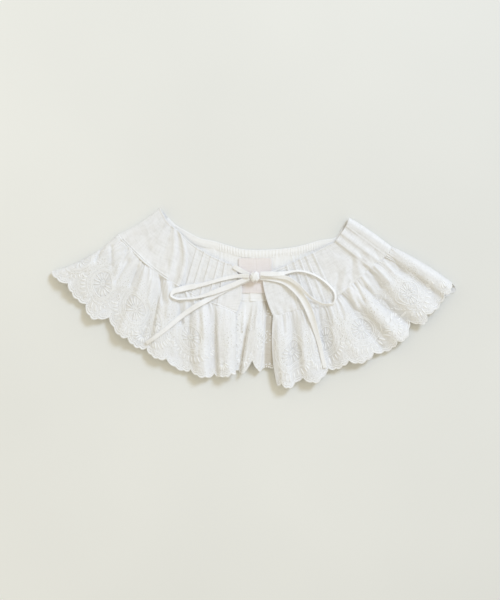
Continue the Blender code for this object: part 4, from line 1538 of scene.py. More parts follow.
def around(centre: Spot, radius: float, turn: Array, size: Tuple, tilt: float = 0.0) -> Array:
    """Motifs set round a centre at the angles turn, pointing outwards, turned on by tilt."""
    x, y = centre[0] + OVAL * radius * np.cos(turn), centre[1] + radius * np.sin(turn)
    return stitches(x, y, np.arctan2(np.sin(turn), OVAL * np.cos(turn)) + tilt, *size)


def ring(centre: Spot, radius: float, step: float, width: float, lobes: int = 0) -> Array:
    """Satin stitches round a circle.

    Args:
        centre: Its middle, along and up.
        radius: Its radius.
        step: Distance between two stitches.
        width: How wide the line is.
        lobes: How many bows it has, or 0 for a plain circle.

    Returns:
        The rows of needlework.
    """
    turn = circle(int(round(2 * math.pi * radius / step)))
    wide = radius + (1.0 * np.abs(np.sin(lobes * turn / 2)) if lobes else 0.0)
    x, y = centre[0] + OVAL * wide * np.cos(turn), centre[1] + wide * np.sin(turn)
    return stitches(x, y, np.arctan2(np.cos(turn), -OVAL * np.sin(turn)), step * 1.3, width, 0.9)


@dataclass(frozen=True)
class EyeletDesign:
    """Traditional eyelet work: spoked wheels and eyelet flowers in turn, and a fan in each scallop."""

    wheel_up: float = 31.0
    flower_up: float = 43.5
    fan_up: float = 14.5
    leaf_up: float = 25.5
    spokes: int = 14
    fan_petals: int = 8
    fan_gap: float = 0.64
    last_wheel: int = 8
    seed_pitch: float = 2.7
    seed_gap: float = 2.2
    seeds_from: float = 12.5
    seeds_to: float = 60.0
    bead: Tuple[float, float, float] = (1.15, 1.15, 1.0)
    leaf: Tuple[float, float, float] = (3.6, 1.5, 1.2)

    def wheel(self, centre: Spot) -> Tuple[Array, Array]:
        """A wheel and the rays below it.

        Args:
            centre: Its middle, along and up.

        Returns:
            The rows of stitches and of eyelets.
        """
        rays = np.radians(np.linspace(-154.0, -26.0, 13))
        lines = [around(centre, 7.1, circle(self.spokes), (8.2, 1.2, 0.8))]
        lines += [ring(centre, *sizes) for sizes in WHEEL_RINGS]
        lines.append(around(centre, 23.2, rays, (7.6, 1.9, 1.05)))
        holes = [
            around(centre, 15.8, circle(28), (1.3, 1.3, 1.0)),
            around(centre, 20.4, np.radians(np.arange(4, 180, 9.0)), self.bead),
            stitches(*centre, 0.0, 1.7, 1.7, 1.2),
        ]
        return np.concatenate(lines), np.concatenate(holes)

    def flower(self, centre: Spot) -> Tuple[Array, Array]:
        """A flower with its leaves.

        Args:
            centre: Its middle, along and up.

        Returns:
            The rows of stitches and of eyelets.
        """
        lines = [ring(centre, 7.0, 1.2, 0.9)]
        holes = [
            around(centre, 4.2, circle(8), (3.2, 1.7, 1.2)),
            around(centre, 9.0, circle(18), self.bead),
            stitches(*centre, 0.0, 1.4, 1.4, 1.0),
        ]
        for side in (-1, 1):
            holes.append(stitches(centre[0] + side * 4.0, self.leaf_up, 1.57 - side * 0.6, *self.leaf))
            vein = (centre[0] + side * 4.6, self.leaf_up - 6.0)
            lines.append(stitches(*vein, 1.57 - side * 0.8, 5.0, 1.6, 0.9))
        holes.append(stitches(centre[0], self.leaf_up + 3.2, 1.57, *self.leaf))
        return np.concatenate(lines), np.concatenate(holes)

    def fan(self, along: float) -> Array:
        """Satin petals that fan out into a scallop.

        Args:
            along: Its middle.

        Returns:
            The rows of stitches.
        """
        turn = np.radians(np.linspace(-162.0, -18.0, self.fan_petals))
        petals = around((along, self.fan_up), 7.2, turn, (7.2, 1.9, 1.1))
        return np.concatenate([petals, around((along, self.fan_up), 2.4, turn, (1.3, 1.1, 0.8), math.pi / 2)])

    def motifs(self, first: float, last: float) -> Tuple[Array, Array]:
        """Wheels and flowers in turn.

        Args:
            first: Where they start, in scallops of the design.
            last: Where they end.

        Returns:
            The rows of stitches and the rows of eyelets.
        """
        made = []
        for k in range(math.floor(first), math.ceil(last) + 1):
            even = k % 2 == 0
            centre = (k * PITCH, self.wheel_up if even else self.flower_up)
            made.append(self.wheel(centre) if even and 0 <= k <= self.last_wheel else self.flower(centre))
        return joined(made)

    def seeds(self, first: float, last: float) -> Array:
        """Rings of small eyelets that fill the ground round the wheels.

        Args:
            first: Where they start, in scallops of the design.
            last: Where they end.

        Returns:
            The rows of eyelets, the innermost rings first.
        """
        rows = []
        for radius in np.arange(22.8, 42.0, self.seed_pitch):
            turn = circle(int(round(2 * math.pi * radius / self.seed_pitch)))
            x, y = OVAL * radius * np.cos(turn), self.wheel_up + radius * np.sin(turn)
            flower = np.hypot(np.abs(x) - PITCH, y - self.flower_up)
            keep = (np.abs(x) < PITCH + 1) & (y > self.seeds_from) & (y < self.seeds_to) & (flower > 9.8)
            keep &= (np.sin(turn) > -0.42) | (radius > 28.0)
            for k in range(math.floor(first) - 1, math.ceil(last) + 2):
                if k % 2 == 0:
                    rows.append(stitches(k * PITCH + x[keep], y[keep], 0.0, *self.bead))
        return np.concatenate(rows)

    def border(self, first: float, last: float) -> Tuple[Array, Array]:
        """The buttonholed edge, the line inside it and its row of eyelets, which follow the scallops.

        Args:
            first: Where they start, in scallops of the hem.
            last: Where they end.

        Returns:
            The rows of stitches and of eyelets.
        """
        edge, line, dots = (np.arange(first * PITCH, last * PITCH, step) for step in (0.95, 1.3, 3.4))
        lines = [stitches(edge, 0.85, math.pi / 2, 2.3, 1.05, 1.2), stitches(line, 3.3, 0.0, 1.7, 1.0, 0.95)]
        return np.concatenate(lines), stitches(dots, 4.9, 0.0, 1.1, 1.1, 1.0)


class Workbox(NamedTuple):
    """What needlework is laid with; holes lays dark discs, the painted shadow inside each eyelet."""

    satin: Needlework
    rings: Needlework
    holes: Needlework
    running: Needlework


class Embroiderer:
    """Lays the eyelet design on a ruffle."""

    def __init__(self, ruffle: Ruffle, wheels: Sequence[Spot], box: Workbox, start: int = 0) -> None:
        """Keeps what the design is laid with.

        Args:
            ruffle: The cloth.
            wheels: Scallop of the hem over which each wheel sits, and how far it is raised.
            box: The tools.
            start: Number of the first wheel in the design.
        """
        self.ruffle = ruffle
        self.wheels, self.rises = np.asarray(wheels, float).T
        self.box = box
        self.design = EyeletDesign()
        even = start + np.arange(len(self.wheels)) * 2.0
        whole = np.array([-20.0, -0.52, 0.52, 20.0])
        first, last = np.arange(len(even)) == 0, np.arange(len(even)) == len(even) - 1
        keep = np.stack([first, first | True, last | True, last], axis=-1)
        self.design_knots = (even[:, None] + whole)[keep]
        self.hem_knots = (self.wheels[:, None] + whole)[keep]

    def to_hem(self, along: Array) -> Array:
        """Turns millimetres along the design into millimetres along the hem."""
        return PITCH * np.interp(along / PITCH, self.design_knots, self.hem_knots)

    def to_design(self, along: Array) -> Array:
        """Turns millimetres along the hem into millimetres along the design."""
        return PITCH * np.interp(along / PITCH, self.hem_knots, self.design_knots)

    def rise(self, along: Array) -> Array:
        """How far the design is raised over a place on the hem, in millimetres."""
        return np.interp(along / PITCH, self.wheels, self.rises)

    def map_cloth(self, t: Array, v: Array) -> Array:
        """Places on the cloth.

        Args:
            t: Distances along the band.
            v: Shares of the way across it.

        Returns:
            The places in the design's own millimetres.
        """
        places = self.ruffle.cloth_map(t, v)
        places[..., 2] -= self.rise(places[..., 0])
        places[..., 0] = self.to_design(places[..., 0])
        return places

    def stand(self, rows: Array, hem: bool, follow: bool, first: float, last: float) -> Rows:
        """Finds where needlework stands on the cloth.

        Args:
            rows: Its rows.
            hem: Whether they count along the hem and not along the design.
            follow: Whether they follow the scalloped edge.
            first: Scallop where they start.
            last: Scallop where they end.

        Returns:
            Points, directions, normals and sizes.
        """
        step = 0.3
        along, up, angle = rows[:, 0], rows[:, 1], rows[:, 2]
        here, there = along, along + step * np.cos(angle)
        if not hem:
            here, there = self.to_hem(here), self.to_hem(there)
            up = up + self.rise(here)
        t, v = self.ruffle.at(here, up, follow)
        t2, v2 = self.ruffle.at(there, up + step * np.sin(angle), follow)
        limit = 7.5 / self.ruffle.run(t)
        out = 0.5 * rows[:, 3] * np.abs(np.cos(angle)) + 0.9
        keep = (here - out > first * PITCH) & (here + out < last * PITCH)
        keep &= (v > limit) & (v < 1.01) & (v2 < 1.02)
        t, v, t2, v2 = (part[keep] for part in (t, v, t2, v2))
        normal = self.ruffle.upward(t, v)
        point = self.ruffle.points(t, v)
        run = self.ruffle.points(t2, v2) - point
        size = rows[keep][:, 3:6]
        size[:, 0] *= np.clip(np.linalg.norm(run, axis=-1) / step, 0.45, 1.6)
        return point + normal * (CLOTH / 2 - 0.02), unit(run), normal, size

    def lay(self, name: str, slot: str, first: float, last: float) -> List[Piece]:
        """Lays the whole design.

        Args:
            name: Start of the pieces' names.
            slot: Their material slot.
            first: Scallop of the hem where it starts.
            last: Scallop where it ends.

        Returns:
            The satin stitches, the rings and the shadows of the eyelets.
        """
        span = (first, last)
        wide = self.to_design(np.array(span) * PITCH) / PITCH
        lines, holes = self.design.motifs(*wide)
        edge, border = self.design.border(*span)
        middles = [k + 0.5 for k in range(math.floor(first), math.ceil(last))]
        free = [k for k in middles if np.min(np.abs(self.wheels - k)) > self.design.fan_gap]
        fans = [self.design.fan(k * PITCH) for k in free] or [np.zeros((0, 6))]
        satin = [
            self.stand(lines, False, False, *span),
            self.stand(np.concatenate(fans), True, False, *span),
            self.stand(edge, True, True, *span),
        ]
        eyes = joined([self.stand(holes, False, False, *span), self.stand(border, True, True, *span)])
        seeds = self.stand(self.design.seeds(*wide), False, False, *span)
        point, run, normal, size = joined([eyes, self.thin(seeds, eyes[0])])
        inner = size * np.array([0.9, 0.9, 1.0])
        pieces = [
            self.box.satin.lay(name + "_satin_stitches", *joined(satin)),
            self.box.rings.lay(name + "_eyelet_rings", point, run, normal, size),
            # Dark discs just above the cloth: painted shadow inside each eyelet
            self.box.holes.lay(name + "_eyelet_shadows", point + normal * 0.06, run, normal, inner),
        ]
        return [ready(piece, slot) for piece in pieces]

    def thin(self, rows: Rows, others: Array) -> Rows:
        """Leaves out seeds that gathering would bring too close together.

        Args:
            rows: Points, directions, normals and sizes of the seeds.
            others: Points of the other eyelets.

        Returns:
            The same for the seeds that stay.
        """
        kept = others[:, :2]
        stay = []
        for i, point in enumerate(rows[0]):
            if np.min(np.hypot(*(kept - point[:2]).T), initial=9.0) > self.design.seed_gap:
                kept = np.vstack([kept, point[:2]])
                stay.append(i)
        return tuple(part[stay] for part in rows)


def sewn_line(points: Array, normals: Array, pitch: float, size: Row, lift: float = CLOTH / 2) -> Rows:
    """Sets running stitches along a line.

    Args:
        points: The line, close together.
        normals: The cloth's normals along it.
        pitch: Distance between two stitches.
        size: Length, width and height of a stitch.
        lift: How far they stand off the line.

    Returns:
        Points, directions, normals and sizes.
    """
    s = travelled(points)
    where = np.arange(pitch / 2, s[-1], pitch)
    up = unit(between(where, s, normals))
    run = unit(between(where, s, np.gradient(points, axis=0)))
    return between(where, s, points) + up * lift, run, up, np.tile(size, (len(where), 1)).astype(float)


@dataclass
class FrontPanel:
    """One front: its yoke folded round the shoulder, its ruffle, their stitches and eyelet work."""

    side: Side
    yoke_rows: Sequence[Row]
    ruffle_rows: Sequence[Row]
    yoke_creases: Sequence[Row]
    ruffle_creases: Sequence[Row]
    deep_tucks: Sequence[Tuple[str, str]]
    ridges: Sequence[Row]
    wheels: Sequence[Spot]
    first: float
    yoke_flat: Spot
    lawn: Material
    eyelet: Material
    box: Workbox
    last: float = 9.24
    ruffle_flat: Spot = (0.07, 0.26)
    whipped: Sequence[str] = ()
    step: float = 0.85
    seed: int = 3
    gather_height: float = 1.15
    gather_reach: float = 20.0
    drawn: float = 0.5
    welt: float = 1.0
    lean: float = 0.55
    crisp: float = 0.6

    def __post_init__(self) -> None:
        """Works out the two bands."""
        self.word = self.side.name.lower()
        self.yoke = Yoke(self.yoke_rows, self.ridges, self.side, self.seed, self.drawn, self.welt)
        self.yoke.creases = Creases(self.yoke_creases)
        gathers = (self.gather_height, self.gather_reach, self.seed)
        self.ruffle = Ruffle(self.ruffle_rows, self.yoke, self.ruffle_creases, *gathers)
        self.ruffle.lean = self.lean * self.side.value
        self.ruffle.crisp = self.crisp
        self.tucks = [tuple(self.yoke.at_row(name) for name in tuck) for tuck in self.deep_tucks]

    def yoke_columns(self) -> Tuple[Array, Array, Array]:
        """Columns of the yoke's grid.

        Returns:
            Their places, the number of the deep tuck that each is in or -1, and the height in it.
        """
        rows = [(t, t, -1, 0.0) for t in spread(0.0, self.yoke.length, self.step)]
        for tuck in self.yoke.tucks:
            rows = [r for r in rows if not tuck - 0.6 < r[0] < tuck + 3.1]
            rows += [(tuck + x, tuck + x, -1, 0.0) for x in PINTUCK_PLACE]
        for number, (a, b) in enumerate(self.tucks):
            rows = [r for r in rows if not a - 0.1 < r[0] < b + 0.1]
            for i, (share, height) in enumerate(TUCK_FOLD):
                order = a + (b - a) * i / (len(TUCK_FOLD) - 1)
                rows.append((order, a + (b - a) * share, number, height))
            rows = [r for r in rows if r[2] == number or not a - 0.32 * (b - a) < r[0] < b + 0.1]
        table = np.array(sorted(rows))
        return table[:, 1], table[:, 2].astype(int), table[:, 3]

    def yoke_cloth(self) -> Piece:
        """Makes the yoke's cloth.

        Returns:
            The cloth with its pintucks and deep tucks.
        """
        t, tuck, height = self.yoke_columns()
        close = np.arange(0.0, 3.3, 0.4)
        v = np.concatenate([close, spread(4.2, YOKE_WIDTH - 4.2, 1.1), YOKE_WIDTH - close[::-1]]) / YOKE_WIDTH
        grid = self.yoke.grid(t, v)
        for number, ends in enumerate(self.tucks):
            high, low = (self.yoke.points(end, v)[:, 2] for end in ends)
            for i in np.flatnonzero(tuck == number):
                grid[i, :, 2] = low + height[i] * (high - low)
        name = "yoke_" + self.word + "_lawn"
        return sheet_of(name, grid, self.yoke.cloth_map(t, v), self.yoke.sign, self.lawn)

    def yoke_stitches(self) -> Piece:
        """Sews the yoke.

        Returns:
            Running stitches along the seam, neck, front edge and pintucks, and whip stitches.
        """
        yoke = self.yoke
        long = spread(yoke.fold + 1.0, yoke.length - 1.2, 0.7)
        across = np.linspace(0.03, 0.97, 60)
        running = (RUNNING_PITCH, RUNNING)
        lines = [(long, 1 - 2.2 / YOKE_WIDTH, *running), (long, 2.4 / YOKE_WIDTH, *running)]
        lines.append((yoke.length - 2.3, across, *running))
        lines += [(tuck + 2.62, across, *running) for tuck in yoke.tucks]
        if self.whipped:
            whipped = spread(*(yoke.at_row(name) for name in self.whipped), 0.5)
            lines += [(whipped, 1 - back / YOKE_WIDTH, WHIPPED_PITCH, WHIPPED) for back in (0.7, 2.9)]
        parts = [sewn_line(yoke.points(t, v), yoke.upward(t, v), pitch, size) for t, v, pitch, size in lines]
        return self.box.running.lay("yoke_" + self.word + "_running_stitches", *joined(parts))

    def ruffle_cloth(self, work: Embroiderer) -> Piece:
        """Makes the ruffle's cloth.

        Args:
            work: What lays the ruffle's design.

        Returns:
            The cloth, gathered at the seam and scalloped at the hem.
        """
        ruffle = self.ruffle
        notches = ruffle.at_scallop(np.arange(1, math.floor(ruffle.scallops[-1]) + 1))
        t = np.concatenate([spread(0.0, ruffle.length, self.step), notches, notches - 0.3, notches + 0.3])
        t = np.unique(np.round(np.clip(t, 0.0, ruffle.length), 2))
        gathered = [0.0, 0.4, 0.8, 1.3, 1.9, 2.6, 3.4]
        v = np.concatenate([gathered, spread(4.3, RUFFLE_WIDTH, 1.0)]) / RUFFLE_WIDTH
        name = "ruffle_" + self.word + "_eyelet_cotton"
        return sheet_of(name, ruffle.grid(t, v), work.map_cloth(t, v), ruffle.sign, self.eyelet)

    def build(self) -> List[Piece]:
        """Makes the front.

        Returns:
            The yoke's and the ruffle's cloth.
        """
        yoke_slot, ruffle_slot = "yoke_front_" + self.word, "ruffle_front_" + self.word
        yoke = ready(self.yoke_cloth(), yoke_slot, yoke_slot)
        seams = ready(self.yoke_stitches(), yoke_slot)
        work = Embroiderer(self.ruffle, self.wheels, self.box)
        ruffle = ready(self.ruffle_cloth(work), ruffle_slot, ruffle_slot)
        needlework = work.lay("ruffle_" + self.word, ruffle_slot, self.first, self.last)
        return [yoke, ruffle]


@dataclass
class BackPanel:
    """The back of the collar: its yoke, its ruffle, the gathered neck facing and the label."""

    lawn: Material
    eyelet: Material
    label_cloth: Material
    box: Workbox
    wheels: Sequence[Spot] = ((8.35, 0.0),)
    first_wheel: int = 40
    first: float = 6.2
    last: float = 10.4
    step: float = 1.0
    yoke_width: float = 54.0
    shade_over: float = 3.6
    rib_pitch: float = 3.2
    rib_rise: float = 0.18
    rib_left: float = -42.0
    rib_right: float = 68.0
    facing_lines: Sequence[Spot] = ((1.4, 2.2), (7.2, 1.62))
    label_size: Tuple[float, float, float, float] = (-17.0, 17.6, 5.3, 41.7)
    label_height: float = 1.78
    label_wall: float = 0.45

    def __post_init__(self) -> None:
        """Works out the two bands."""
        self.yoke = BackYoke(YOKE_BACK)
        self.ruffle = Ruffle(RUFFLE_BACK, self.yoke, CREASES_RUFFLE_BACK, 0.9, 18.0, 51)
        self.ruffle.crisp = 0.9
        self.ruffle.least = self.yoke.least

    def shaded(self, grid: Array, wide: float, depth: float) -> Array:
        """Painted shade beside the right front's edge.

        Args:
            grid: The cloth's points.
            wide: How far the shade reaches from the edge.
            depth: How deep the cloth seems to lie there.

        Returns:
            The depth at each point.
        """
        edge = np.interp(grid[..., 1], *np.transpose(RIGHT_EDGE))
        return depth * ramp(grid[..., 0] - edge + wide, 0.0, self.shade_over)

    def yoke_cloth(self) -> Piece:
        """Makes the back yoke's cloth.

        Returns:
            The cloth.
        """
        t = spread(SEAM_GAP, self.yoke.length - SEAM_GAP, self.step)
        v = np.concatenate([spread(0.0, 51.0, 1.2), np.arange(51.4, 54.01, 0.37)]) / self.yoke_width
        v = v / v[-1]
        grid = self.yoke.grid(t, v)
        shaded = self.shaded(grid, 8.6, 3.2)
        return sheet_of("yoke_back_lawn", grid, self.yoke.cloth_map(t, v), -1.0, self.lawn, shaded=shaded)

    def ruffle_cloth(self, work: Embroiderer) -> Piece:
        """Makes the back ruffle's cloth.

        Args:
            work: What lays the ruffle's design.

        Returns:
            The cloth.
        """
        ruffle = self.ruffle
        shown = spread(*ruffle.at_scallop([7.0, 9.4]), 0.7)
        whole = spread(SEAM_GAP, ruffle.length - SEAM_GAP, self.step)
        t = np.unique(np.round(np.concatenate([whole, ruffle.at_scallop(np.arange(1, 16)), shown]), 2))
        v = np.concatenate([[0.0, 0.6, 1.4, 2.4], spread(3.6, RUFFLE_WIDTH, 1.2)]) / RUFFLE_WIDTH
        grid = ruffle.grid(t, v)
        places, shaded = work.map_cloth(t, v), self.shaded(grid, 10.4, 5.4)
        return sheet_of("ruffle_back_eyelet_cotton", grid, places, -1.0, self.eyelet, shaded=shaded)

    def neck(self, trim: float, step: float) -> Tuple[Array, Array, Array]:
        """Follows the back neck.

        Args:
            trim: How far it stops short of both ends.
            step: Distance between places.

        Returns:
            Places along the yoke, points of its neck edge, and the way down from it.
        """
        yoke = self.yoke
        t = spread(float(yoke.knots[1]) + trim, float(yoke.knots[-2]) - trim, step)
        near = yoke.edge(yoke.near, t)
        return t, near, unit((yoke.edge(yoke.far, t) - near) * np.array([1.0, 1.0, 0.0]))

    def facing_cloth(self) -> Piece:
        """Makes the facing.

        Returns:
            The strip inside the back neck, gathered into uneven ribs.
        """
        t, near, across = self.neck(0.0, 0.42)
        rng = np.random.default_rng(61)
        drift, strong = (
            np.interp(t, places, rng.normal(0.0, uneven, len(places)))
            for places, uneven in ((spread(t[0], t[-1], 5.0), 0.55), (spread(t[0], t[-1], 4.0), 0.25))
        )
        wave = 0.5 - 0.5 * np.cos(2 * math.pi * (t + drift) / self.rib_pitch)
        inside = ramp(near[:, 0], self.rib_left, 6.0) * ramp(self.rib_right - near[:, 0], 0.0, 6.0)
        d = np.array([0.5, 0.8, 1.2, 1.7, 2.4, 3.2, 4.0, 4.8, 5.6, 6.3, 6.8, 7.2, 7.6, 8.0, 8.2])
        pinch = 1 - 0.45 * bell((d - 1.4) / 0.5) - 0.45 * bell((d - 7.2) / 0.5)
        grid = near[:, None, :] + across[:, None, :] * d[None, :, None]
        lift = 2 * self.rib_rise * (wave * (1 + strong) * inside)[:, None] * pinch[None, :]
        grid[..., 2] = (1.85 - 0.68 * ramp(d, 4.5, 3.7))[None, :] + lift
        places = np.stack(np.broadcast_arrays(t[:, None], d[None, :], d[None, :]), axis=-1)
        return sheet_of("neck_facing_lawn", grid, places, -1.0, self.lawn)

    def label_piece(self) -> Piece:
        """Makes the label.

        Returns:
            The plain label, with turned sides and a faint crease.
        """
        left, right, foot, top = self.label_size
        px, py = np.meshgrid(spread(left, right, 0.6), spread(foot, top, 0.9), indexing="ij")
        side = np.minimum(px - left, right - px)
        z = self.label_height + 0.18 * bell((side - 0.7) / 0.8) - 0.24 * bell((px - 1.0) / 0.45)
        z = z + 0.14 * np.sin(px / 7.0 + 1.0) * np.sin(py / 11.0)
        ripple = 0.12 * np.sin(py * 0.9) + 0.08 * np.sin(py * 2.3 + 1.0)
        grid = np.stack([px + ripple * np.sign(px) * (side < 0.3), py, z], axis=-1)
        places = np.stack([px, py, side], axis=-1)
        return sheet_of("label_woven", grid, places, 1.0, self.label_cloth, self.label_wall)

    def sewing(self) -> Piece:
        """Sews the back.

        Returns:
            Running stitches on the facing, the seam and the label's sides.
        """
        t, near, across = self.neck(1.0, 0.7)
        up = np.array([[0.0, 0.0, 1.0]])
        parts = []
        for d, height in self.facing_lines:
            line = near + across * d
            line[:, 2] = height
            parts.append(sewn_line(line, up.repeat(len(t), 0), RUNNING_PITCH, RUNNING, 0.0))
        seam = self.yoke.points(t, 1 - 2.2 / self.yoke_width)
        parts.append(sewn_line(seam, up.repeat(len(t), 0), RUNNING_PITCH, RUNNING))
        left, right, foot, top = self.label_size
        y = spread(foot + 0.8, top - 0.8, 0.8)
        for x in (left + 1.1, right - 1.1):
            line = np.stack(np.broadcast_arrays(x, y, self.label_height + 0.34), axis=-1)
            parts.append(sewn_line(line, up.repeat(len(y), 0), 2.2, (1.6, 0.4, 0.35), 0.0))
        return self.box.running.lay("back_running_stitches", *joined(parts))

    def build(self) -> List[Piece]:
        """Makes the back.

        Returns:
            Its pieces of cloth.
        """
        yoke = ready(self.yoke_cloth(), "yoke_back", "yoke_back")
        work = Embroiderer(self.ruffle, self.wheels, self.box, self.first_wheel)
        ruffle = ready(self.ruffle_cloth(work), "ruffle_back", "ruffle_back")
        needlework = work.lay("ruffle_back", "ruffle_back", self.first, self.last)
        facing = ready(self.facing_cloth(), "neck_facing_back", "neck_facing_back")
        label = ready(self.label_piece(), "label", "label")
        seams = ready(self.sewing(), "yoke_back")
        return [yoke, ruffle, facing, label]


class Ground:
    """The cloth that the ties lie on."""

    def __init__(self) -> None:
        """Starts with nothing to lie on."""
        self.trees: List[BVHTree] = []

    def add(self, piece: Piece) -> None:
        """Adds a piece that ties may lie on."""
        self.trees.append(BVHTree.FromObject(piece, bpy.context.evaluated_depsgraph_get()))

    def top(self, x: float, y: float) -> float:
        """Height of what lies at a place.

        Args:
            x: The place in x.
            y: The place in y.

        Returns:
            The height in millimetres, or 0 where nothing lies.
        """
        start, down = Vector((x * MM, y * MM, 0.2)), Vector((0.0, 0.0, -1.0))
        hits = [tree.ray_cast(start, down)[0] for tree in self.trees]
        return max([hit[2] / MM for hit in hits if hit is not None], default=0.0)


@dataclass
class Tie:
    """One free stretch of the narrow cloth tie, which lies over whatever is below it."""

    node: str
    table: Sequence[Row]
    far_end: Optional[str]
    material: Material
    cup: float = 0.0
    cup_from: float = 4.8
    cup_over: float = 2.6
    wall: float = 1.05
    lift: float = 0.35
    step: float = 1.4
    slope: float = 0.34
    corners: int = 16
    flat_width: float = 0.0058

    def __post_init__(self) -> None:
        """Names the piece."""
        self.name = self.node + "_cloth"

    def cupped(self, width: Array) -> Array:
        """How far the edges stand up where the tie is broad, in millimetres."""
        return self.cup * np.clip(width - self.cup_from, 0.0, self.cup_over)

    def path(self, ground: Ground) -> Tuple[Array, Array, Array]:
        """Lays the tie's line over the ground.

        Args:
            ground: What it lies on.

        Returns:
            Its points, its rolls and its widths.
        """
        table = np.array(self.table, float)
        knots = travelled(table[:, :2])
        t = np.linspace(0.0, knots[-1], int(round(knots[-1] / self.step)) + 1)
        x, y = (through(knots, table[:, k], t, monotone=False) for k in (0, 1))
        roll = np.radians(through(knots, table[:, 2], t))
        width = through(knots, table[:, 3], t)
        run = unit(np.stack([np.gradient(x), np.gradient(y)], axis=-1))
        half = np.cos(roll) * width / 2
        rise = np.empty(len(t))
        for i in range(len(t)):
            rise[i] = self.lift + max(
                ground.top(
                    x[i] + run[i, 1] * half[i] * f + run[i, 0] * g,
                    y[i] - run[i, 0] * half[i] * f + run[i, 1] * g,
                )
                for f in (-1.1, -0.7, -0.35, 0.0, 0.35, 0.7, 1.1)
                for g in (-0.8, 0.8)
            )
        rise += np.cos(roll) * self.wall / 2 + np.abs(np.sin(roll)) * width / 2
        rise += 0.5 * self.cupped(width)
        rise = np.maximum(rise, np.interp(t, knots, table[:, 4]))
        fall = np.abs(t[:, None] - t[None, :]) * self.slope
        envelope = (rise[None, :] - fall).max(axis=1)
        soft = envelope.copy()
        for _ in range(16):
            soft[1:-1] = 0.25 * soft[:-2] + 0.5 * soft[1:-1] + 0.25 * soft[2:]
            soft = np.maximum(soft, envelope - 0.05)
        return np.stack([x, y, soft], axis=-1), roll, width

    def cloth(self, path: Array, roll: Array, width: Array) -> Piece:
        """Sweeps a flat section, fuller at its edges where the seam allowances lie, along the line.

        Args:
            path: The line's points.
            roll: Its rolls.
            width: Its widths.

        Returns:
            The tie.
        """
        run = unit(np.gradient(path, axis=0))
        side = unit(np.cross(run, [0.0, 0.0, 1.0]))
        up = np.cross(side, run)
        broad = np.cos(roll)[:, None] * side + np.sin(roll)[:, None] * up
        thin = np.cross(broad, run)
        turn = circle(self.corners, 0.5)
        flat = fuller(np.cos(turn), 0.5)[None, :]
        thick = fuller(np.sin(turn), 0.7)[None, :] * (1.0 - 0.5 * bell(flat / 0.55))
        n, m = len(path), self.corners
        s = travelled(path)
        places = spread(0, s[-1], 6.0)
        drawn = np.random.default_rng(len(self.name)).normal(0, 0.12, len(places))
        creases = np.interp(s, places, drawn)[:, None]
        a = flat * width[:, None] / 2
        b = thick * self.wall / 2 + self.cupped(width)[:, None] * (np.abs(flat) - 0.5)
        b = b + (0.10 * np.sin(a * 2.1 + creases * 9) + creases * a * 0.12) * 0.8
        tube = path[:, None, :] + a[..., None] * broad[:, None, :] + b[..., None] * thin[:, None, :]
        caps = [list(range(m)), list(range((n - 1) * m, n * m))[::-1]]
        faces = quads(n, m, tube=True).tolist() + caps
        piece = make_mesh(self.name, tube.reshape(-1, 3), faces, self.material)
        store(piece, "cloth", np.stack(np.broadcast_arrays(s[:, None], a, np.abs(a)), axis=-1))
        return piece

    def build(self, ground: Ground) -> Piece:
        """Args:
            ground: What it lies on, to which it is added.

        Returns:
            The tie.
        """
        path, roll, width = self.path(ground)
        piece = ready(self.cloth(path, roll, width), self.node, self.node)
        ground.add(piece)
        return piece


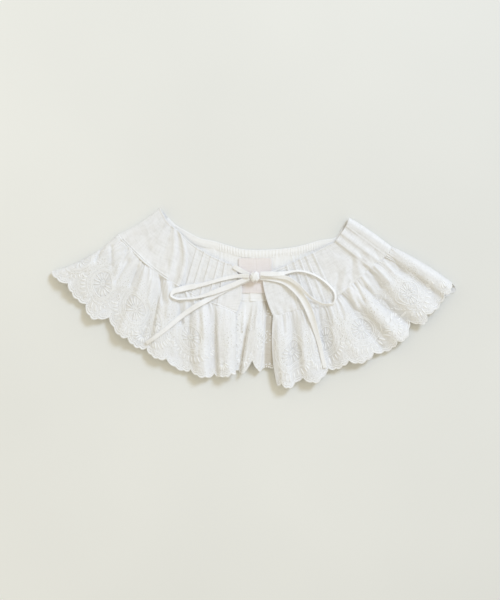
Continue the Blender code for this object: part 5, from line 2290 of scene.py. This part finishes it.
@dataclass
class Knot:
    """The knot of the bow: a creased core with turns of the tie pulled tight over it."""

    material: Material
    centre: Tuple[float, float, float] = (0.0, 22.1, 8.3)
    half: Tuple[float, float, float] = (5.3, 4.9, 3.3)
    power: float = 2.6
    turn_power: float = 2.5
    turns: Sequence[Tuple[float, float, float]] = ((38.0, 0.0, 3.6), (-30.0, 0.45, 4.6))

    def core(self) -> Tuple[Array, List]:
        """Makes the creased core.

        Returns:
            Its points and faces.
        """
        rings, m = 24, 48
        la, lo = np.meshgrid(np.pi * np.arange(1, rings) / rings, circle(m), indexing="ij")
        ball = np.stack([np.sin(la) * np.cos(lo), np.sin(la) * np.sin(lo), np.cos(la)], axis=-1)
        crease = 1 - 0.09 * np.abs(np.sin(lo * 2.5 + 0.7 + 1.2 * np.cos(la))) * np.sin(la)
        crease = crease * (1 - 0.2 * bell((np.abs(ball[..., 0]) - 0.55) / 0.2) * np.abs(ball[..., 1]))
        body = fuller(ball, 2.0 / self.power) * np.array(self.half) * crease[..., None]
        poles = [[0.0, 0.0, self.half[2]], [0.0, 0.0, -self.half[2]]]
        points = np.concatenate([body.reshape(-1, 3), poles]) + np.array(self.centre)
        n = rings - 1
        top, foot = n * m, n * m + 1
        faces = quads(n, m, tube=True).tolist()
        for k in range(m):
            after = (k + 1) % m
            faces += [[top, k, after], [foot, (n - 1) * m + after, (n - 1) * m + k]]
        return points, faces

    def turn(self, tilt: float, grow: float, width: float) -> Tuple[Array, List]:
        """Points and faces of a turn of the tie over the core.

        Args:
            tilt: How far it is turned from straight across, in degrees.
            grow: How far it stands off the core.
            width: Its width.

        Returns:
            Its points and faces.
        """
        s, ang = circle(56), circle(14)
        tilt = math.radians(tilt)
        axis = np.array([math.cos(tilt), math.sin(tilt), 0.0])
        lie = np.array([-math.sin(tilt), math.cos(tilt), 0.0])
        c, h = (fuller(wave, 2.0 / self.turn_power) for wave in (np.cos(s), np.sin(s)))
        c, h = c * (self.half[1] + grow), h * (self.half[2] + grow)
        middle = c[:, None] * lie + h[:, None] * np.array([0.0, 0.0, 1.0])
        out = unit(middle / np.array([1.0, 1.0, 0.6]))
        wide = (width / 2) * (0.7 + 0.3 * np.abs(np.sin(s + 0.5)))
        a, b = fuller(np.cos(ang), 0.6), fuller(np.sin(ang), 0.8)
        fold = 0.22 * np.cos(a[None, :] * 7.0 + 0.8 * np.sin(s * 2)[:, None]) * (b[None, :] > 0)
        band = middle[:, None, :] + (a[None, :] * wide[:, None])[..., None] * axis
        band = band + (b[None, :] * 0.45 + fold)[..., None] * out[:, None, :]
        faces = quads(len(s), len(ang), tube=True, hoop=True)[:, ::-1]
        return band.reshape(-1, 3) + np.array(self.centre), faces.tolist()

    def build(self) -> Piece:
        """Makes the knot.

        Returns:
            The core and its turns as one piece.
        """
        points, faces = self.core()
        for sizes in self.turns:
            more, turned = self.turn(*sizes)
            faces += [[k + len(points) for k in face] for face in turned]
            points = np.concatenate([points, more])
        piece = make_mesh("tie_knot_wrapped", points, faces, self.material)
        store(piece, "cloth", points)
        return ready(piece, "tie_knot", "tie_knot")


@dataclass
class Studio:
    """The pale table, the window-like light from the upper right, and the camera overhead."""

    aim: Spot = (-5.0, -2.1)
    lens: float = 85.0
    height: float = 1487.5
    floor_half: float = 4000.0
    key_place: Tuple[float, float, float] = (2.05, 2.2, 2.7)
    key_size: float = 1.25
    key_power: float = 83.0
    key_colour: Colour = (0.60, 0.74, 1.0)
    sky: Colour = (1.0, 0.94, 0.78)
    sky_strength: float = 0.711

    def floor(self) -> None:
        """Lays the table, darker towards the right and lighter towards the top as a painted falloff of light.
        """
        light, dark = (0.927, 0.925, 0.883), (0.79, 0.79, 0.758)
        cream = PlainFinish("table_cream", light, dark, grain=2.5, painted_falloff=(-0.8, 0.37)).material()
        corners = self.floor_half * np.array([(-1, -1, 0), (1, -1, 0), (1, 1, 0), (-1, 1, 0)])
        make_mesh("table_floor", corners, [[0, 1, 2, 3]], cream)

    def lights(self) -> None:
        """Sets the key light and the sky."""
        key = bpy.data.lights.new("window", "AREA")
        key.shape = "DISK"
        key.size = self.key_size
        key.energy = self.key_power
        key.color = self.key_colour
        lamp = bpy.data.objects.new("window", key)
        lamp.location = self.key_place
        lamp.rotation_euler = (-Vector(self.key_place)).to_track_quat("-Z", "Y").to_euler()
        bpy.context.scene.collection.objects.link(lamp)
        world = bpy.data.worlds.new("studio")
        bpy.context.scene.world = world
        world.use_nodes = True
        inputs = {"Color": (*self.sky, 1.0), "Strength": self.sky_strength}
        NodeKit(world.node_tree).plug(world.node_tree.nodes["Background"], inputs)

    def camera(self) -> None:
        """Sets the camera straight above the collar."""
        lens = bpy.data.cameras.new("overhead")
        lens.lens = self.lens
        lens.sensor_width = 36.0
        lens.clip_end = 50.0
        camera = bpy.data.objects.new("overhead", lens)
        camera.location = (self.aim[0] * MM, self.aim[1] * MM, self.height * MM)
        bpy.context.scene.collection.objects.link(camera)
        bpy.context.scene.camera = camera

    def build(self) -> None:
        """Sets the studio up."""
        self.floor()
        self.lights()
        self.camera()
        bpy.context.scene.view_settings.view_transform = "Standard"


# Colours: the lightest tone of each, and its darkest tone, which random tone reaches and which also serves as
# painted shade
LAWN = ((0.975, 0.975, 0.98), (0.86, 0.857, 0.85))
# A darker copy of the lawn: painted shade on the right front's yoke
LAWN_RIGHT = ((0.952, 0.952, 0.955), (0.84, 0.836, 0.83))
# A lighter copy of the lawn: painted light on the back yoke and facing, which lie in the fronts' shade
LAWN_INSIDE = ((0.995, 0.994, 0.99), (0.96, 0.953, 0.945))
EYELET = ((0.99, 0.99, 0.99), (0.85, 0.847, 0.847))
# A darker copy of the eyelet cotton: painted shade on the right front's ruffle
EYELET_RIGHT = ((0.985, 0.983, 0.983), (0.80, 0.796, 0.793))
# A lighter copy of the eyelet cotton: painted light on the back ruffle, which lies between the fronts
EYELET_BACK = ((0.995, 0.995, 0.995), (0.89, 0.887, 0.88))
TIE = ((0.975, 0.97, 0.963), (0.885, 0.877, 0.862))
PINK = ((0.98, 0.925, 0.91), (0.92, 0.85, 0.83))
THREAD = ((0.975, 0.975, 0.97), (0.93, 0.93, 0.92))
SHADOW = ((0.81, 0.80, 0.775), (0.75, 0.74, 0.715))


def panels(box: Workbox) -> Tuple[BackPanel, FrontPanel, FrontPanel]:
    """Cuts the three parts of the collar.

    Args:
        box: What their needlework is laid with.

    Returns:
        The back, the left front and the right front.
    """
    # The back's cloths: lighter copies, painted light, with painted shade of a warm colour in their hollows
    dark = {"painted_shade": 1.0, "painted_shade_from": 0.6, "painted_shade_colour": (0.70, 0.655, 0.59)}
    inner = Finish("white_lawn_inside", *LAWN_INSIDE, weave=0.03, **dark).material()
    dark = {"painted_shade": 1.0, "painted_shade_from": 2.6, "painted_shade_over": 3.2, "painted_shade_colour": (0.66, 0.61, 0.53)}
    deep = EyeletFinish("eyelet_cotton_back", *EYELET_BACK, **dark).material()
    pink = LabelFinish("pink_label", *PINK).material()
    left = FrontPanel(
        side=Side.LEFT,
        yoke_rows=YOKE_LEFT,
        ruffle_rows=RUFFLE_LEFT,
        yoke_creases=CREASES_YOKE_LEFT,
        ruffle_creases=CREASES_RUFFLE_LEFT,
        deep_tucks=(("ridge_2", "valley_2"),),
        ridges=(
            ("over", 0.3, 2.0),
            ("soft_valley_1", -0.4, 2.5),
            ("soft_ridge_1", 0.55, 2.4),
            ("soft_valley_2", -0.4, 2.2),
            ("ridge_1", 0.8, 1.9),
            ("valley_1", -0.3, 1.6),
            ("ridge_2", 0.8, 1.7),
        ),
        wheels=((0.35, 0.0), (2.0, 0.0), (3.7, -1.0), (5.35, 2.0), (7.05, 6.0)),
        first=0.36,
        yoke_flat=(0.055, 0.175),
        lawn=Finish("white_lawn", *LAWN, slub=0.1, mottle=1.7).material(),
        eyelet=EyeletFinish("eyelet_cotton", *EYELET, painted_shade=0.55).material(),
        box=box,
        whipped=("over", "ridge_1"),
    )
    right = FrontPanel(
        side=Side.RIGHT,
        yoke_rows=YOKE_RIGHT,
        ruffle_rows=RUFFLE_RIGHT,
        yoke_creases=CREASES_YOKE_RIGHT,
        ruffle_creases=CREASES_RUFFLE_RIGHT,
        deep_tucks=(("tuck_1", "foot_1"), ("tuck_2", "foot_2"), ("tuck_3", "foot_3")),
        ridges=(
            ("tuck_1", -0.35, 1.4),
            ("foot_1", 0.4, 1.6),
            ("tuck_2", -0.35, 1.4),
            ("foot_2", 0.4, 1.6),
            ("tuck_3", -0.35, 1.4),
            ("foot_3", 0.4, 2.0),
        ),
        wheels=((2.05, 1.0), (5.0, 0.0), (6.9, 2.0), (8.35, 0.0)),
        first=0.42,
        yoke_flat=(0.055, 0.185),
        # Darker copies of the cloths: painted shade on the right front
        lawn=Finish("white_lawn_right", *LAWN_RIGHT, slub=0.1, mottle=1.7).material(),
        eyelet=EyeletFinish("eyelet_cotton_turned", *EYELET_RIGHT, painted_shade=0.75).material(),
        box=box,
        seed=11,
        gather_height=1.5,
        drawn=1.3,
        welt=0.2,
    )
    return BackPanel(inner, deep, pink, box), left, right


def main() -> None:
    """Builds the collar in order."""
    logging.basicConfig(level=logging.INFO, format="%(message)s")
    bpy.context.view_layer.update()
    Studio().build()
    thread = ThreadFinish("white_thread", *THREAD).material()
    shadow = PlainFinish("eyelet_shadow", *SHADOW).material()
    satin, rings, holes = (
        Needlework(motif, material)
        for motif, material in ((Motif.STITCH, thread), (Motif.EYELET, thread), (Motif.HOLE, shadow))
    )
    running = Needlework(Motif.STITCH, thread, seed=9, uneven=0.12)
    ground = Ground()
    for panel in panels(Workbox(satin, rings, holes, running)):
        for piece in panel.build():
            ground.add(piece)
    finish = {"yarn": 0.6, "weave": 0.03, "slub": 0.07, "mottle": 1.5}
    cotton = Finish("tie_cotton", *TIE, **finish).material()
    Knot(cotton).build()
    Tie("tie_tail_left", TAIL_LEFT, "bare", cotton).build(ground)
    Tie("tie_tail_right", TAIL_RIGHT, "bare", cotton, cup=0.95).build(ground)
    Tie("tie_lead_left", LEAD_LEFT, None, cotton).build(ground)
    Tie("tie_loop_left", LOOP_LEFT, "object", cotton).build(ground)
    Tie("tie_loop_right", LOOP_RIGHT, "object", cotton).build(ground)


if __name__ == "__main__":
    main()
